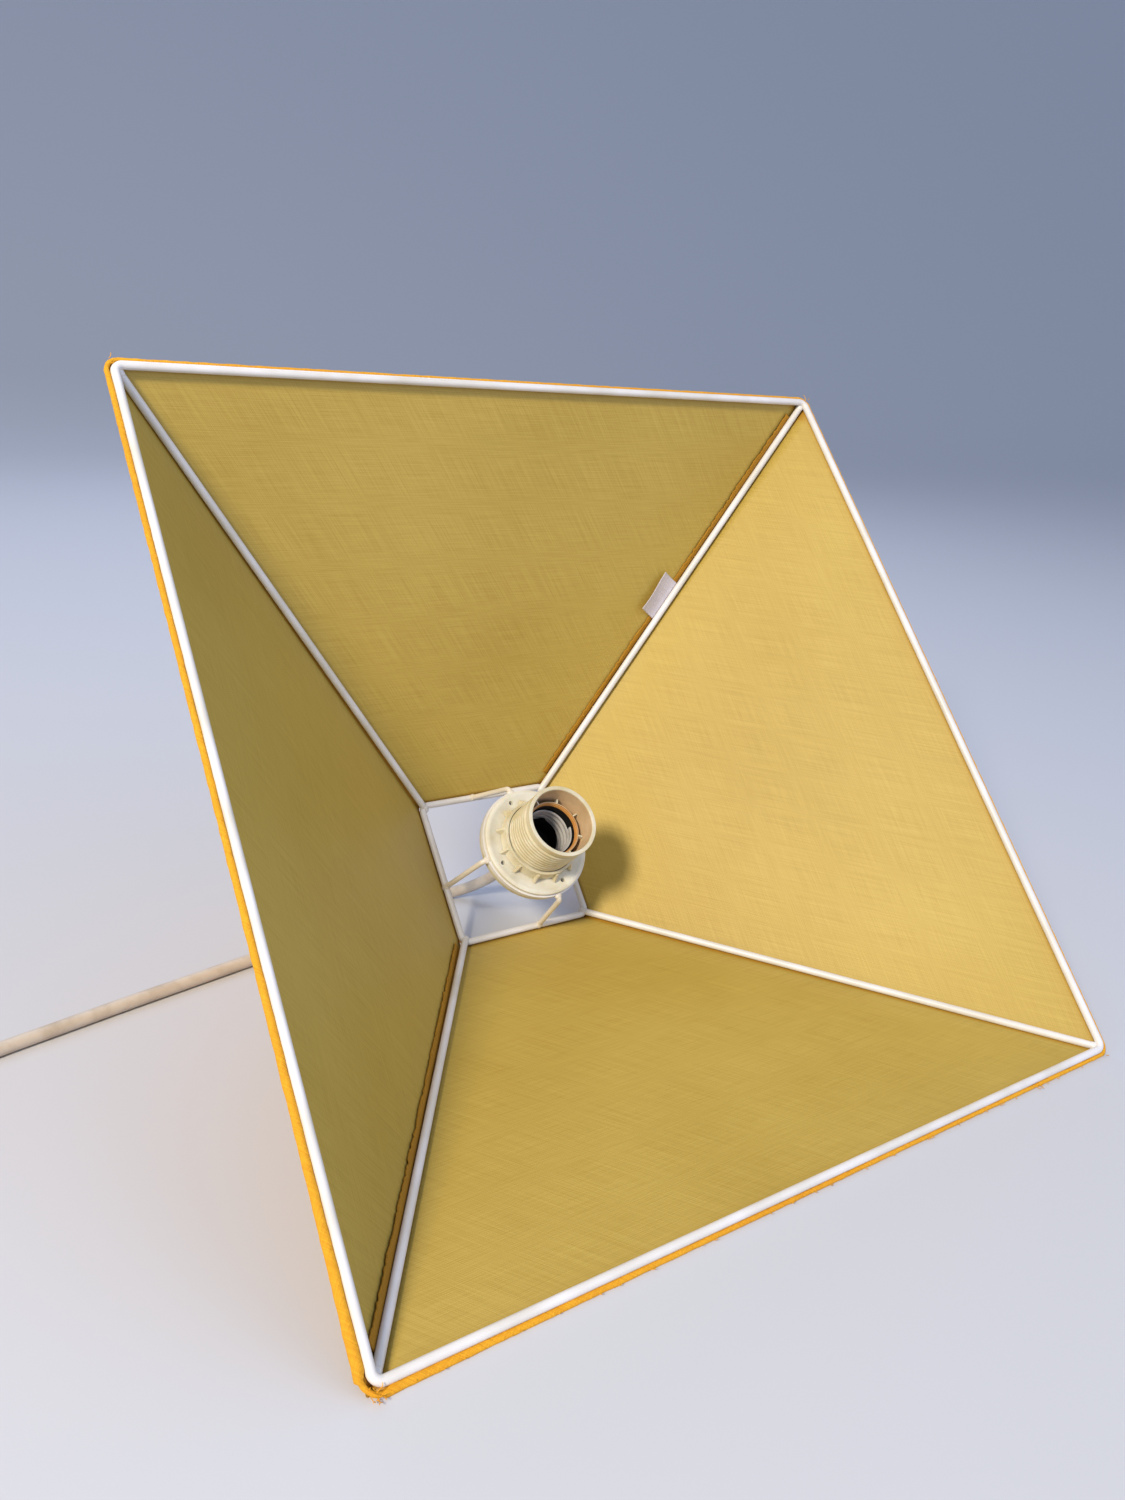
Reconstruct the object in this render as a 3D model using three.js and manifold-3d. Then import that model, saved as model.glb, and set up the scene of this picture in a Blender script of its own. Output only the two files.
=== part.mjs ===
// A square tapered pendant lampshade that lies on one of its four sides, mouth to the front:
// a powder-coated wire frame, four laminated fabric panels, a threaded lampholder and its flex.
// Millimetres, +Z up, +Y away from the mouth. The origin is on the floor, at the middle of the shade.
import * as THREE from "three";
import { ConvexGeometry } from "three/addons/geometries/ConvexGeometry.js";
import { mergeVertices } from "three/addons/utils/BufferGeometryUtils.js";
import Module from "manifold-3d";

const wasm = await Module();
wasm.setup();

// ---- driving dimensions ----
const clearance = 0.3; // between pieces that touch

const rimSide = 400; // wire centre to wire centre, across the mouth
const neckSide = 82; // the same, across the small end
const shadeHeight = 170; // between the two wire squares
const wireDiameter = 3.8;
const wireBend = 4; // bend radius at a square's corners
const wireSides = 10;

const fabricThickness = 1;
const hemDiameter = 1.6; // turned edge at the mouth
const bindingDiameter = 1.6; // turned edge at the small end
const seamWidth = 5.5; // raw seam edges along two struts
const seamThickness = 0.6;
const seamShare = 0.93; // of a strut's length

const label = { length: 26, width: 16, thickness: 0.4, along: 0.52 };

const fitterRise = 38.5; // from the small square's plane into the shade
const fitterSag = 3; // the arms have given a little, towards the lower side
const fitter = { width: 11.4, thickness: 2.5 };
const armDiameter = 3;
const armBend = 3;
const armOffset = 8; // from the middle of the small square's side to an arm's foot
const armStandOff = 2.7; // from the fitter ring's edge out to an arm's bend

const threadDiameter = 39.6; // crest of the skirt's outside thread
const threadPitch = 2.5;
const threadDepth = 0.6;
const skirt = { front: 34.5, back: -11, lip: 4, wall: 2.2, tailWall: 0.7 };
const shadeRing = { width: 10.4, thickness: 2.2, hole: 2.4, holeInset: 5.5, holes: 4, firstHole: 18 };
const ringNut = { wall: 1.5, height: 6.5 };
const lug = { count: 12, length: 3.4, width: 2.2, height: 5, first: 6 };
const rearFlange = { width: 10.9, thickness: 3.5 };
const sleeve = { gap: 2.4, wall: 1.3, front: 23.5, floor: -6, floorThickness: 2.5 };
const rib = { count: 8, thickness: 1, first: 17.5 };
const screwShell = { wall: 0.5, wave: 0.9, height: 25, waves: 4 };
const contact = { length: 12, width: 6, thickness: 0.8, stem: 3, travel: 1.5, lift: 2.6 };
const contactBase = { thickness: 2.6 };
const terminal = { width: 6, depth: 8, height: 4.2, apart: 15 };
const terminalScrew = { diameter: 2.5, headDiameter: 4.2, headHeight: 1.4, length: 4 };
const cap = { sideWall: 2, wall: 1.9, wireRoom: 3.2, taper: 4.5, bossWall: 5.25, bossLength: 3.5 };
const gripScrew = { diameter: 3, length: 5 };
const relief = { length: 21, collar: 3, frontWall: 3.25, backWall: 1.05 };

const cordDiameter = 6.5;
const cordSides = 10;
const conductorDiameter = 2.4;
const straightOut = 2.5; // out of the strain relief, before the flex drops
const coil = { x: -338, y: 44, ring: 72, turnsWide: 3, layers: 1.87 };
const tie = { width: 6, thickness: 0.9, angle: 215 };
const tail = { length: 34, conductors: 14 };
const connector = { length: 24, width: 17, height: 12, wirePlay: 1, screwHole: 5, screwsAt: [0.28, 0.72] };

// ---- values that follow from them ----
const coreGap = (conductorDiameter + clearance) / 2; // from the middle of the flex to each core's
const halfRim = rimSide / 2;
const halfNeck = neckSide / 2;
const slope = Math.atan2(shadeHeight, halfRim - halfNeck); // from the mouth's plane to a panel
const slant = Math.hypot(shadeHeight, halfRim - halfNeck);
const wireRadius = wireDiameter / 2;
const panelInside = wireRadius + clearance; // from the wires' centres out to the cloth
const panelOutside = panelInside + fabricThickness;
const fitterDepth = shadeHeight - fitterRise; // of its front face, from the mouth's plane
const boreRadius = threadDiameter / 2 + clearance; // of what slides over the thread
const fitterRadius = boreRadius + fitter.width;
const skirtBore = threadDiameter / 2 - skirt.wall;
const skirtTail = skirtBore + skirt.tailWall;
const ringNutRadius = boreRadius + ringNut.wall;
const sleeveRadius = skirtBore - sleeve.gap;
const sleeveInside = sleeveRadius - sleeve.wall;
const floorBack = sleeve.floor - sleeve.floorThickness;
const cordRadius = cordDiameter / 2;
const bossRadius = cordRadius + cap.bossWall;
const strutLength = Math.hypot(slant, halfRim - halfNeck);

// ---- materials ----
function paint(color, roughness, metalness = 0) {
  return new THREE.MeshStandardMaterial({ color, roughness, metalness });
}
const whitePowderCoat = paint(0xe6e4e6, 0.35);
const yellowLaminate = paint(0xb0993f, 0.55);
const goldenCloth = paint(0xf0a516, 0.8);
const creamPlastic = paint(0xd9d5c2, 0.45);
const palePlastic = paint(0xe4e1d2, 0.5);
const tanPlastic = paint(0xb5a078, 0.55);
const darkResin = paint(0x1d1b1a, 0.6);
const nickelSteel = paint(0xa9aaad, 0.35, 1);
const brass = paint(0xb8923f, 0.35, 1);
const whiteSatin = paint(0xd9d2d8, 0.5);
const flexVinyl = paint(0xcfc8bd, 0.5);
const brownVinyl = paint(0x6b4028, 0.5);
const blueVinyl = paint(0x2d5f9a, 0.5);

// ---- solids ----
function toSolid(geometry) {
  const bare = geometry.clone();
  bare.deleteAttribute("normal");
  bare.deleteAttribute("uv");
  const merged = mergeVertices(bare, 1e-4);
  const vertProperties = new Float32Array(merged.attributes.position.array);
  const triVerts = new Uint32Array(merged.index.array);
  return new wasm.Manifold(new wasm.Mesh({ numProp: 3, vertProperties, triVerts }));
}

function toGeometry(solid) {
  const { vertProperties, triVerts } = solid.getMesh();
  const geometry = new THREE.BufferGeometry();
  geometry.setAttribute("position", new THREE.BufferAttribute(vertProperties, 3));
  geometry.setIndex(new THREE.BufferAttribute(triVerts, 1));
  geometry.computeVertexNormals();
  return geometry;
}

const lap = 0.5; // how far solids that are joined run into each other

function join(...geometries) {
  return toGeometry(geometries.map(toSolid).reduce((all, next) => all.add(next)));
}

function cut(geometry, ...tools) {
  return toGeometry(tools.map(toSolid).reduce((left, tool) => left.subtract(tool), toSolid(geometry)));
}

// The angle of one of several copies that stand evenly round an axis, the first at a number of degrees.
function around(first, index, count) {
  return THREE.MathUtils.degToRad(first + (360 * index) / count);
}

function addPiece(group, name, geometry, material) {
  const mesh = new THREE.Mesh(geometry, material);
  mesh.name = name;
  group.add(mesh);
  return mesh;
}

// ---- shapes ----
// A line through stations that are given with their directions, so a tube has rings only where it bends.
class Stations extends THREE.Curve {
  constructor() {
    super();
    this.points = [];
    this.directions = [];
  }

  add(point, direction) {
    this.points.push(point.clone());
    this.directions.push(direction.clone().normalize());
  }

  getPoint(t, target = new THREE.Vector3()) {
    const at = t * (this.points.length - 1);
    const before = Math.min(Math.floor(at), this.points.length - 2);
    return target.lerpVectors(this.points[before], this.points[before + 1], at - before);
  }

  getPointAt(t, target) {
    return this.getPoint(t, target);
  }

  getTangentAt(t, target = new THREE.Vector3()) {
    return target.copy(this.directions[Math.round(t * (this.directions.length - 1))]);
  }
}

// A path from corner to corner, with a round bend at each one between the ends.
function bentPath(corners, bendRadius, bendSteps = 4) {
  const path = new Stations();
  const heading = corners.slice(1).map((c, i) => c.clone().sub(corners[i]).normalize());
  path.add(corners[0], heading[0]);
  for (let i = 1; i < corners.length - 1; i++) {
    const angle = heading[i - 1].angleTo(heading[i]);
    const setback = bendRadius * Math.tan(angle / 2);
    const turn = new THREE.Vector3().crossVectors(heading[i - 1], heading[i]).normalize();
    const start = corners[i].clone().addScaledVector(heading[i - 1], -setback);
    const centre = start.clone().addScaledVector(turn.clone().cross(heading[i - 1]), bendRadius);
    for (let k = 0; k <= bendSteps; k++) {
      const part = (angle * k) / bendSteps;
      const arm = start.clone().sub(centre).applyAxisAngle(turn, part);
      path.add(centre.clone().add(arm), heading[i - 1].clone().applyAxisAngle(turn, part));
    }
  }
  path.add(corners.at(-1), heading.at(-1));
  return path;
}

function polygon(radius, sides) {
  return Array.from({ length: sides }, (_, i) => {
    const angle = ((i + 0.5) / sides) * 2 * Math.PI;
    return new THREE.Vector2(radius * Math.cos(angle), radius * Math.sin(angle));
  });
}

function tube(path, diameter, sides = wireSides) {
  const section = new THREE.Shape(polygon(diameter / 2, sides));
  return new THREE.ExtrudeGeometry(section, { steps: path.points.length - 1, extrudePath: path });
}

// A closed square of round wire in a plane across the axis, with round corners.
function wireSquare(side, depth, diameter) {
  const half = side / 2;
  const path = bentPath(
    [
      new THREE.Vector3(lap, -half, -depth),
      new THREE.Vector3(-half, -half, -depth),
      new THREE.Vector3(-half, half, -depth),
      new THREE.Vector3(lap, half, -depth),
    ],
    wireBend,
  );
  const first = tube(path, diameter);
  return join(first, first.clone().rotateZ(Math.PI));
}

// A turned piece about Z from its outline, points of radius and height, in either direction.
function turned(outline, segments = 36) {
  const points = outline.map(([radius, height]) => new THREE.Vector2(radius, height));
  if (THREE.ShapeUtils.area(points) < 0) points.reverse();
  if (points.every((p) => p.x > 0)) points.push(points[0].clone());
  return new THREE.LatheGeometry(points, segments).rotateX(Math.PI / 2);
}

function washer(bore, radius, low, high, segments) {
  return turned([[bore, low], [radius, low], [radius, high], [bore, high]], segments);
}

function disc(radius, low, high, segments = 24) {
  return turned([[0, low], [radius, low], [radius, high], [0, high]], segments);
}

// An insulated core that runs straight from its root, crosses over and runs straight on to its tip.
function core(root, tip, heading, leadOut, leadIn) {
  const knee = root.clone().addScaledVector(heading, leadOut);
  const mouth = tip.clone().addScaledVector(heading, -leadIn);
  return tube(bentPath([root, knee, mouth, tip], leadOut / 2, 2), conductorDiameter, 8);
}

// A pyramid-shaped bar along the lower side of the shade, mitred to its neighbours at both ends. Its outline
// gives, from the rim wire's centre, how far out along the slope and how far outside the wires each point is.
function mitredBar(outline) {
  const points = outline.flatMap(([out, off]) => {
    const y = -halfRim - out * Math.cos(slope) - off * Math.sin(slope);
    const z = out * Math.sin(slope) - off * Math.cos(slope);
    const x = -y - clearance / Math.SQRT2;
    return [new THREE.Vector3(x, y, z), new THREE.Vector3(-x, y, z)];
  });
  return new ConvexGeometry(points);
}

const sides = ["bottom", "right", "top", "left"]; // the shade's four sides, each a quarter turn on

// ---- the wire frame ----
const rimSquare = wireSquare(rimSide, 0, wireDiameter);
const neckSquare = wireSquare(neckSide, shadeHeight, wireDiameter);
const rimSpace = wireSquare(rimSide, 0, wireDiameter + 2 * clearance);
const neckSpace = wireSquare(neckSide, shadeHeight, wireDiameter + 2 * clearance);

function straightTube(from, to, diameter, tubeSides = wireSides) {
  return tube(bentPath([from, to], 0), diameter, tubeSides);
}

function strut() {
  const inset = wireBend * (1 - Math.SQRT1_2); // of a bend's middle from its sharp corner
  const fromRim = inset / (halfRim - halfNeck);
  const rimCorner = new THREE.Vector3(halfRim, -halfRim, 0);
  const neckCorner = new THREE.Vector3(halfNeck, -halfNeck, -shadeHeight);
  const start = rimCorner.clone().lerp(neckCorner, fromRim);
  return cut(straightTube(start, neckCorner, wireDiameter), rimSpace, neckSpace);
}

function buildFrame(shade) {
  addPiece(shade, "rim_wire", rimSquare, whitePowderCoat);
  addPiece(shade, "neck_wire", neckSquare, whitePowderCoat);
  const corners = ["bottom_right", "top_right", "top_left", "bottom_left"];
  corners.forEach((corner, i) => {
    addPiece(shade, `strut_${corner}`, strut(), whitePowderCoat).rotation.z = (i * Math.PI) / 2;
  });
}

// Each arm rises from the small square into the shade, and its bent end meets the fitter ring's edge.
function arm(index) {
  const turn = (index * Math.PI) / 2;
  const middle = -fitterDepth - fitter.thickness / 2;
  const axis = new THREE.Vector3(0, 0, 1);
  const centre = new THREE.Vector3(0, -fitterSag, middle);
  const foot = new THREE.Vector3(armOffset, -halfNeck, -shadeHeight).applyAxisAngle(axis, turn);
  const outward = new THREE.Vector3(armOffset / 2, -fitterRadius, 0).setLength(fitterRadius + armStandOff);
  const bend = outward.applyAxisAngle(axis, turn).add(centre);
  const path = bentPath([foot, bend, centre.clone().lerp(bend, 0.5)], armBend);
  const ringSpace = disc(fitterRadius + clearance, middle - armDiameter, middle + armDiameter);
  return cut(tube(path, armDiameter, 8), neckSpace, ringSpace.translate(0, -fitterSag, 0));
}

function buildSpider(shade) {
  sides.forEach((side, i) => addPiece(shade, `spider_arm_${side}`, arm(i), whitePowderCoat));
  const plate = washer(boreRadius, fitterRadius, -fitter.thickness, 0);
  addPiece(shade, "fitter_ring", plate, whitePowderCoat).position.set(0, -fitterSag, -fitterDepth);
}

// ---- the cover ----
// How far a turned edge lies past its wire's middle, flush with the panels' outside and just clear of the wire.
function pastWire(diameter) {
  const off = panelOutside - diameter / 2;
  return Math.sqrt((wireRadius + clearance + diameter / 2) ** 2 - off ** 2);
}

function turnedEdge(out, diameter) {
  const corner = diameter / 2 / Math.cos(Math.PI / 8); // the octagon's corners, with its flats at the radius
  const off = panelOutside - diameter / 2;
  return mitredBar(polygon(corner, 8).map((p) => [out + p.x, off + p.y]));
}

function buildCover(shade) {
  const hemOut = pastWire(hemDiameter);
  const bindingOut = -slant - pastWire(bindingDiameter);
  const rimEnd = hemOut - hemDiameter / 2 - clearance;
  const neckEnd = bindingOut + bindingDiameter / 2 + clearance;
  const panel = mitredBar([
    [rimEnd, panelInside],
    [rimEnd, panelOutside],
    [neckEnd, panelInside],
    [neckEnd, panelOutside],
  ]);
  const hem = turnedEdge(hemOut, hemDiameter);
  const binding = turnedEdge(bindingOut, bindingDiameter);
  sides.forEach((side, i) => {
    const turn = (i * Math.PI) / 2;
    addPiece(shade, `panel_${side}`, panel, yellowLaminate).rotation.z = turn;
    addPiece(shade, `rim_hem_${side}`, hem, goldenCloth).rotation.z = turn;
    addPiece(shade, `neck_binding_${side}`, binding, goldenCloth).rotation.z = turn;
  });
}

// A flat strip on the inside of a panel, beside the strut at its right end. The panel is given by its outward
// direction, and the strip by its size and by where it lies: along the strut, across from it and inside.
function strutStrip(outward, [length, width, thickness], [centre, nearEdge, inside]) {
  const along = new THREE.Vector3(halfNeck - halfRim, halfNeck - halfRim, -shadeHeight).normalize();
  const across = new THREE.Vector3().crossVectors(outward, along);
  const fromStrut = Math.sign(-across.x - across.y) * (nearEdge + width / 2);
  const place = new THREE.Matrix4().makeBasis(along, across, outward);
  place.setPosition(
    new THREE.Vector3(halfRim, halfRim, 0)
      .addScaledVector(along, centre)
      .addScaledVector(across, fromStrut)
      .addScaledVector(outward, panelInside - clearance - inside - thickness / 2),
  );
  return new THREE.BoxGeometry(length, width, thickness).applyMatrix4(place);
}

function buildSeams(shade) {
  const outOfTop = new THREE.Vector3(0, Math.sin(slope), -Math.cos(slope));
  const outOfRight = new THREE.Vector3(Math.sin(slope), 0, -Math.cos(slope));
  const size = [strutLength * seamShare, seamWidth, seamThickness];
  const place = [strutLength / 2, wireRadius, 0];
  addPiece(shade, "seam_top_right", strutStrip(outOfTop, size, place), goldenCloth);
  const turnedRound = strutStrip(outOfRight, size, place).rotateZ(Math.PI);
  addPiece(shade, "seam_bottom_left", turnedRound, goldenCloth);
  const labelSize = [label.length, label.width, label.thickness];
  const labelPlace = [strutLength * label.along, wireRadius + clearance, seamThickness + clearance];
  addPiece(shade, "fabric_label", strutStrip(outOfTop, labelSize, labelPlace), whiteSatin);
}

// ---- the lampholder: +Z out of its mouth, zero at the front face of the fitter ring ----
function threadedSkirt() {
  const crest = threadDiameter / 2;
  const threadEnd = skirt.front - skirt.lip;
  const outline = [[skirtBore, skirt.front], [skirtBore, skirt.back], [skirtTail, skirt.back]];
  outline.push([skirtTail, flangeBack], [crest, flangeBack]);
  const grooves = Math.floor((threadEnd - flangeBack) / threadPitch);
  const flank = threadPitch / 3;
  for (let i = grooves - 1; i >= 0; i--) {
    const top = threadEnd - i * threadPitch;
    outline.push([crest, top - 2 * flank], [crest - threadDepth, top - flank], [crest, top]);
  }
  outline.push([crest, skirt.front]);
  return turned(outline, 30);
}

// The insulating sleeve round the bulb's cap, its floor, and the ribs that hold it in the skirt.
function socketInsert() {
  const reach = skirtBore - clearance;
  const hole = contact.stem / 2 + clearance;
  const body = turned([
    [sleeveRadius, sleeve.front],
    [sleeveInside, sleeve.front],
    [sleeveInside, sleeve.floor],
    [hole, sleeve.floor],
    [hole, floorBack],
    [reach, floorBack],
    [reach, sleeve.floor],
    [sleeveRadius, sleeve.floor],
  ]);
  const width = reach - sleeveRadius + lap;
  const height = sleeve.front - sleeve.floor + lap;
  const fins = Array.from({ length: rib.count }, (_, i) => {
    const fin = new THREE.BoxGeometry(width, rib.thickness, height);
    fin.translate(sleeveRadius - lap + width / 2, 0, sleeve.floor - lap + height / 2);
    return fin.rotateZ(around(rib.first, i, rib.count));
  });
  return join(body, ...fins);
}

function wavyShell() {
  const outer = sleeveInside - clearance;
  const low = sleeve.floor + clearance;
  const steps = screwShell.waves * 2;
  const outside = Array.from({ length: steps + 1 }, (_, i) => {
    return [outer - (i % 2) * screwShell.wave, low + (screwShell.height * i) / steps];
  });
  const inside = outside.map(([radius, height]) => [radius - screwShell.wall, height]).reverse();
  return turned([...outside, ...inside], 24);
}

function centreContact() {
  const blade = new THREE.BoxGeometry(contact.length, contact.width, contact.thickness);
  const top = sleeve.floor + contact.lift + contact.thickness;
  blade.translate(0, 0, top - contact.thickness / 2);
  return join(blade, disc(contact.stem / 2, floorBack - clearance, top - contact.thickness / 2, 12));
}

function lockingRing() {
  const low = shadeRing.thickness + 2 * clearance;
  const collar = washer(boreRadius, ringNutRadius, low, low + ringNut.height);
  const length = lug.length + lap;
  const lugs = Array.from({ length: lug.count }, (_, i) => {
    const bar = new THREE.BoxGeometry(length, lug.width, lug.height);
    bar.translate(ringNutRadius - lap + length / 2, 0, low + lug.height / 2);
    return bar.rotateZ(around(lug.first, i, lug.count));
  });
  return join(collar, ...lugs);
}

function ringPlate() {
  const high = clearance + shadeRing.thickness;
  const plate = washer(boreRadius, boreRadius + shadeRing.width, clearance, high);
  const holes = Array.from({ length: shadeRing.holes }, (_, i) => {
    const hole = disc(shadeRing.hole / 2, 0, high + clearance, 10);
    hole.translate(boreRadius + shadeRing.holeInset, 0, 0);
    return hole.rotateZ(around(shadeRing.firstHole, i, shadeRing.holes));
  });
  return cut(plate, ...holes);
}

const flangeFront = -fitter.thickness - clearance;
const flangeBack = flangeFront - rearFlange.thickness;
const capFront = flangeBack - clearance;
const baseFront = floorBack - clearance - contact.travel;
const baseBack = baseFront - contactBase.thickness;
const terminalBack = baseBack - clearance - terminal.height;
const shoulder = terminalBack - cap.wireRoom;
const bossFront = shoulder - cap.taper;
const bossBack = bossFront - cap.bossLength;

function cordCap() {
  const inside = skirtTail + clearance;
  const outside = inside + cap.sideWall;
  const hole = cordRadius + clearance;
  return turned([
    [outside, capFront],
    [outside, shoulder],
    [bossRadius, bossFront],
    [bossRadius, bossBack],
    [hole, bossBack],
    [hole, bossFront + cap.wall],
    [bossRadius - cap.wall, bossFront + cap.wall],
    [inside, shoulder + cap.wall / 2],
    [inside, capFront],
  ]);
}

function screwShape() {
  const shank = terminalScrew.diameter / 2;
  const head = terminalScrew.headDiameter / 2;
  const under = terminalScrew.length;
  const top = under + terminalScrew.headHeight;
  return turned([[0, 0], [shank, 0], [shank, under], [head, under], [head, top], [0, top]], 12);
}

function buildTerminals(holder) {
  const basePlate = washer(contact.stem / 2 + clearance, skirtBore - clearance, baseBack, baseFront, 24);
  addPiece(holder, "contact_base", basePlate, darkResin);
  const poles = [
    { pole: "live", side: 1, vinyl: brownVinyl },
    { pole: "neutral", side: -1, vinyl: blueVinyl },
  ];
  const sheathFront = bossFront + cap.wall;
  const forwards = new THREE.Vector3(0, 0, 1);
  const middle = terminalBack + terminal.height / 2;
  for (const { pole, side, vinyl } of poles) {
    const x = (side * terminal.apart) / 2;
    const block = new THREE.BoxGeometry(terminal.width, terminal.depth, terminal.height);
    const screwHole = disc(terminalScrew.diameter / 2 + clearance, 0, terminal.depth, 8);
    screwHole.rotateX(-Math.PI / 2).translate(0, terminal.depth / 2 - terminalScrew.length, 0);
    addPiece(holder, `terminal_${pole}`, cut(block, screwHole).translate(x, 0, middle), brass);
    const screwBack = terminal.depth / 2 - terminalScrew.length + clearance;
    const screw = screwShape().rotateX(-Math.PI / 2).translate(x, screwBack, middle);
    addPiece(holder, `terminal_screw_${pole}`, screw, nickelSteel);
    const tip = new THREE.Vector3(x, 0, terminalBack - clearance);
    const root = new THREE.Vector3(side * coreGap, 0, sheathFront + clearance);
    addPiece(holder, `inner_wire_${pole}`, core(root, tip, forwards, 1, 1), vinyl);
  }
  const sheath = disc(cordRadius, bossBack + clearance, sheathFront, cordSides);
  addPiece(holder, "inner_sheath_end", sheath, flexVinyl);
}

function buildHolder(shade) {
  const holder = new THREE.Group();
  holder.position.set(0, -fitterSag, -fitterDepth);
  shade.add(holder);
  addPiece(holder, "holder_skirt", threadedSkirt(), creamPlastic);
  const flange = washer(boreRadius, boreRadius + rearFlange.width, flangeBack, flangeFront);
  addPiece(holder, "rear_flange", flange, creamPlastic);
  addPiece(holder, "shade_ring", ringPlate(), palePlastic);
  addPiece(holder, "ring_nut", lockingRing(), creamPlastic);
  addPiece(holder, "socket_insert", socketInsert(), tanPlastic);
  addPiece(holder, "screw_shell", wavyShell(), nickelSteel);
  addPiece(holder, "centre_contact", centreContact(), brass);
  buildTerminals(holder);
  const gripHole = disc(gripScrew.diameter / 2 + clearance, 0, bossRadius, 10);
  gripHole.rotateX(-Math.PI / 2).translate(0, cordRadius / 2, bossBack + cap.bossLength / 2);
  addPiece(holder, "holder_cap", cut(cordCap(), gripHole), creamPlastic);
  const grip = disc(gripScrew.diameter / 2, 0, gripScrew.length, 10);
  grip.rotateX(-Math.PI / 2).translate(0, cordRadius + 2 * clearance, bossBack + cap.bossLength / 2);
  addPiece(holder, "grip_screw", grip, palePlastic);
  const front = bossBack - clearance;
  const taper = turned([
    [0, front],
    [cordRadius + relief.frontWall, front],
    [cordRadius + relief.frontWall, front - relief.collar],
    [cordRadius + relief.backWall, front - relief.length],
    [0, front - relief.length],
  ], 20);
  addPiece(holder, "strain_relief", taper, flexVinyl);
  return { holder, reliefEnd: new THREE.Vector3(0, 0, front - relief.length) };
}

// ---- the flex ----
// It leaves the strain relief along the holder's axis, drops to the floor and runs out to the left.
function looseRoute(exit, heading) {
  const chosen = [
    [-2, 131.7, 14.4],
    [-7.7, 138, 8.5],
    [-16.3, 142.1, 4.8],
    [-26.4, 143.6, 3.6],
    [-46, 141.7, 3.4],
    [-70, 136.8, cordRadius],
    [-98, 130.3, cordRadius],
    [-126, 124.8, cordRadius],
    [-154, 119.3, cordRadius],
    [-186, 112.8, cordRadius],
    [-218, 106.2, cordRadius],
    [-246, 100, cordRadius],
    [-272, 94.3, cordRadius],
    [-294, 89, cordRadius],
  ];
  const entry = new THREE.Vector3(coil.x, coil.y + coil.ring / 2 + cordDiameter, cordRadius);
  const straight = exit.clone().addScaledVector(heading, straightOut);
  return [exit, straight, ...chosen.map((p) => new THREE.Vector3(...p)), entry];
}

const coilHeight = cordDiameter * coil.layers;
const coilWidth = cordDiameter * coil.turnsWide;

function coilRing() {
  const inside = coil.ring / 2 - coilWidth / 2;
  const outside = coil.ring / 2 + coilWidth / 2;
  const round = cordRadius * 0.6;
  const ring = turned(
    [
      [inside, round],
      [inside + round, 0],
      [outside - round, 0],
      [outside, round],
      [outside, coilHeight - round],
      [outside - round, coilHeight],
      [inside + round, coilHeight],
      [inside, coilHeight - round],
    ],
    28,
  );
  const waist = tieBand(tie.width + 2 * clearance, tie.thickness + clearance, 4);
  return cut(ring, waist);
}

// The band round the bundle, sunk by depth into its four faces and standing past them by beyond.
function tieBand(width, depth, beyond) {
  const outer = new THREE.BoxGeometry(coilWidth + 2 * beyond, width, coilHeight + 2 * beyond);
  const inner = new THREE.BoxGeometry(coilWidth - 2 * depth, width + 2, coilHeight - 2 * depth);
  const band = cut(outer, inner);
  band.translate(coil.ring / 2, 0, coilHeight / 2);
  return band.rotateZ(THREE.MathUtils.degToRad(tie.angle));
}

function buildConnector(cord, x, y) {
  const { length, width, height } = connector;
  const block = new THREE.BoxGeometry(width, length, height);
  block.translate(x, y - length / 2, height / 2);
  const tools = [];
  for (const side of [-1, 1]) {
    const holeRadius = (conductorDiameter + connector.wirePlay) / 2;
    const wireHole = disc(holeRadius, -length, length, 12).rotateX(Math.PI / 2);
    tools.push(wireHole.translate(x + (side * width) / 4, y, height / 2));
    for (const end of connector.screwsAt) {
      const screwHole = disc(connector.screwHole / 2, height / 2, height + 1, 10);
      tools.push(screwHole.translate(x + (side * width) / 4, y - length * end, 0));
    }
  }
  addPiece(cord, "supply_connector", cut(block, ...tools), palePlastic);
  return [-1, 1].map((side) => new THREE.Vector3(x + (side * width) / 4, y, height / 2));
}

// The flex leaves the coil on its far side and ends in two cores and a screw connector.
function buildTail(cord) {
  const x = coil.x - coil.ring / 2 - cordRadius;
  const outside = coil.ring / 2 + coilWidth / 2 + clearance;
  const start = coil.y - Math.sqrt(outside ** 2 - (coil.ring / 2) ** 2);
  const end = start - tail.length;
  const from = new THREE.Vector3(x, start, cordRadius);
  const to = new THREE.Vector3(x, end, cordRadius);
  addPiece(cord, "cord_tail", straightTube(from, to, cordDiameter, cordSides), flexVinyl);
  const holes = buildConnector(cord, x, end - clearance - tail.conductors);
  const inside = connector.length * 0.4;
  const cores = [["brown", brownVinyl], ["blue", blueVinyl]];
  cores.forEach(([name, vinyl], i) => {
    const side = i * 2 - 1;
    const root = new THREE.Vector3(x + side * coreGap, end - clearance, cordRadius);
    const tip = holes[i].clone().setY(holes[i].y - inside);
    addPiece(cord, `core_${name}`, core(root, tip, new THREE.Vector3(0, -1, 0), 3, inside + 2), vinyl);
  });
}

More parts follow.
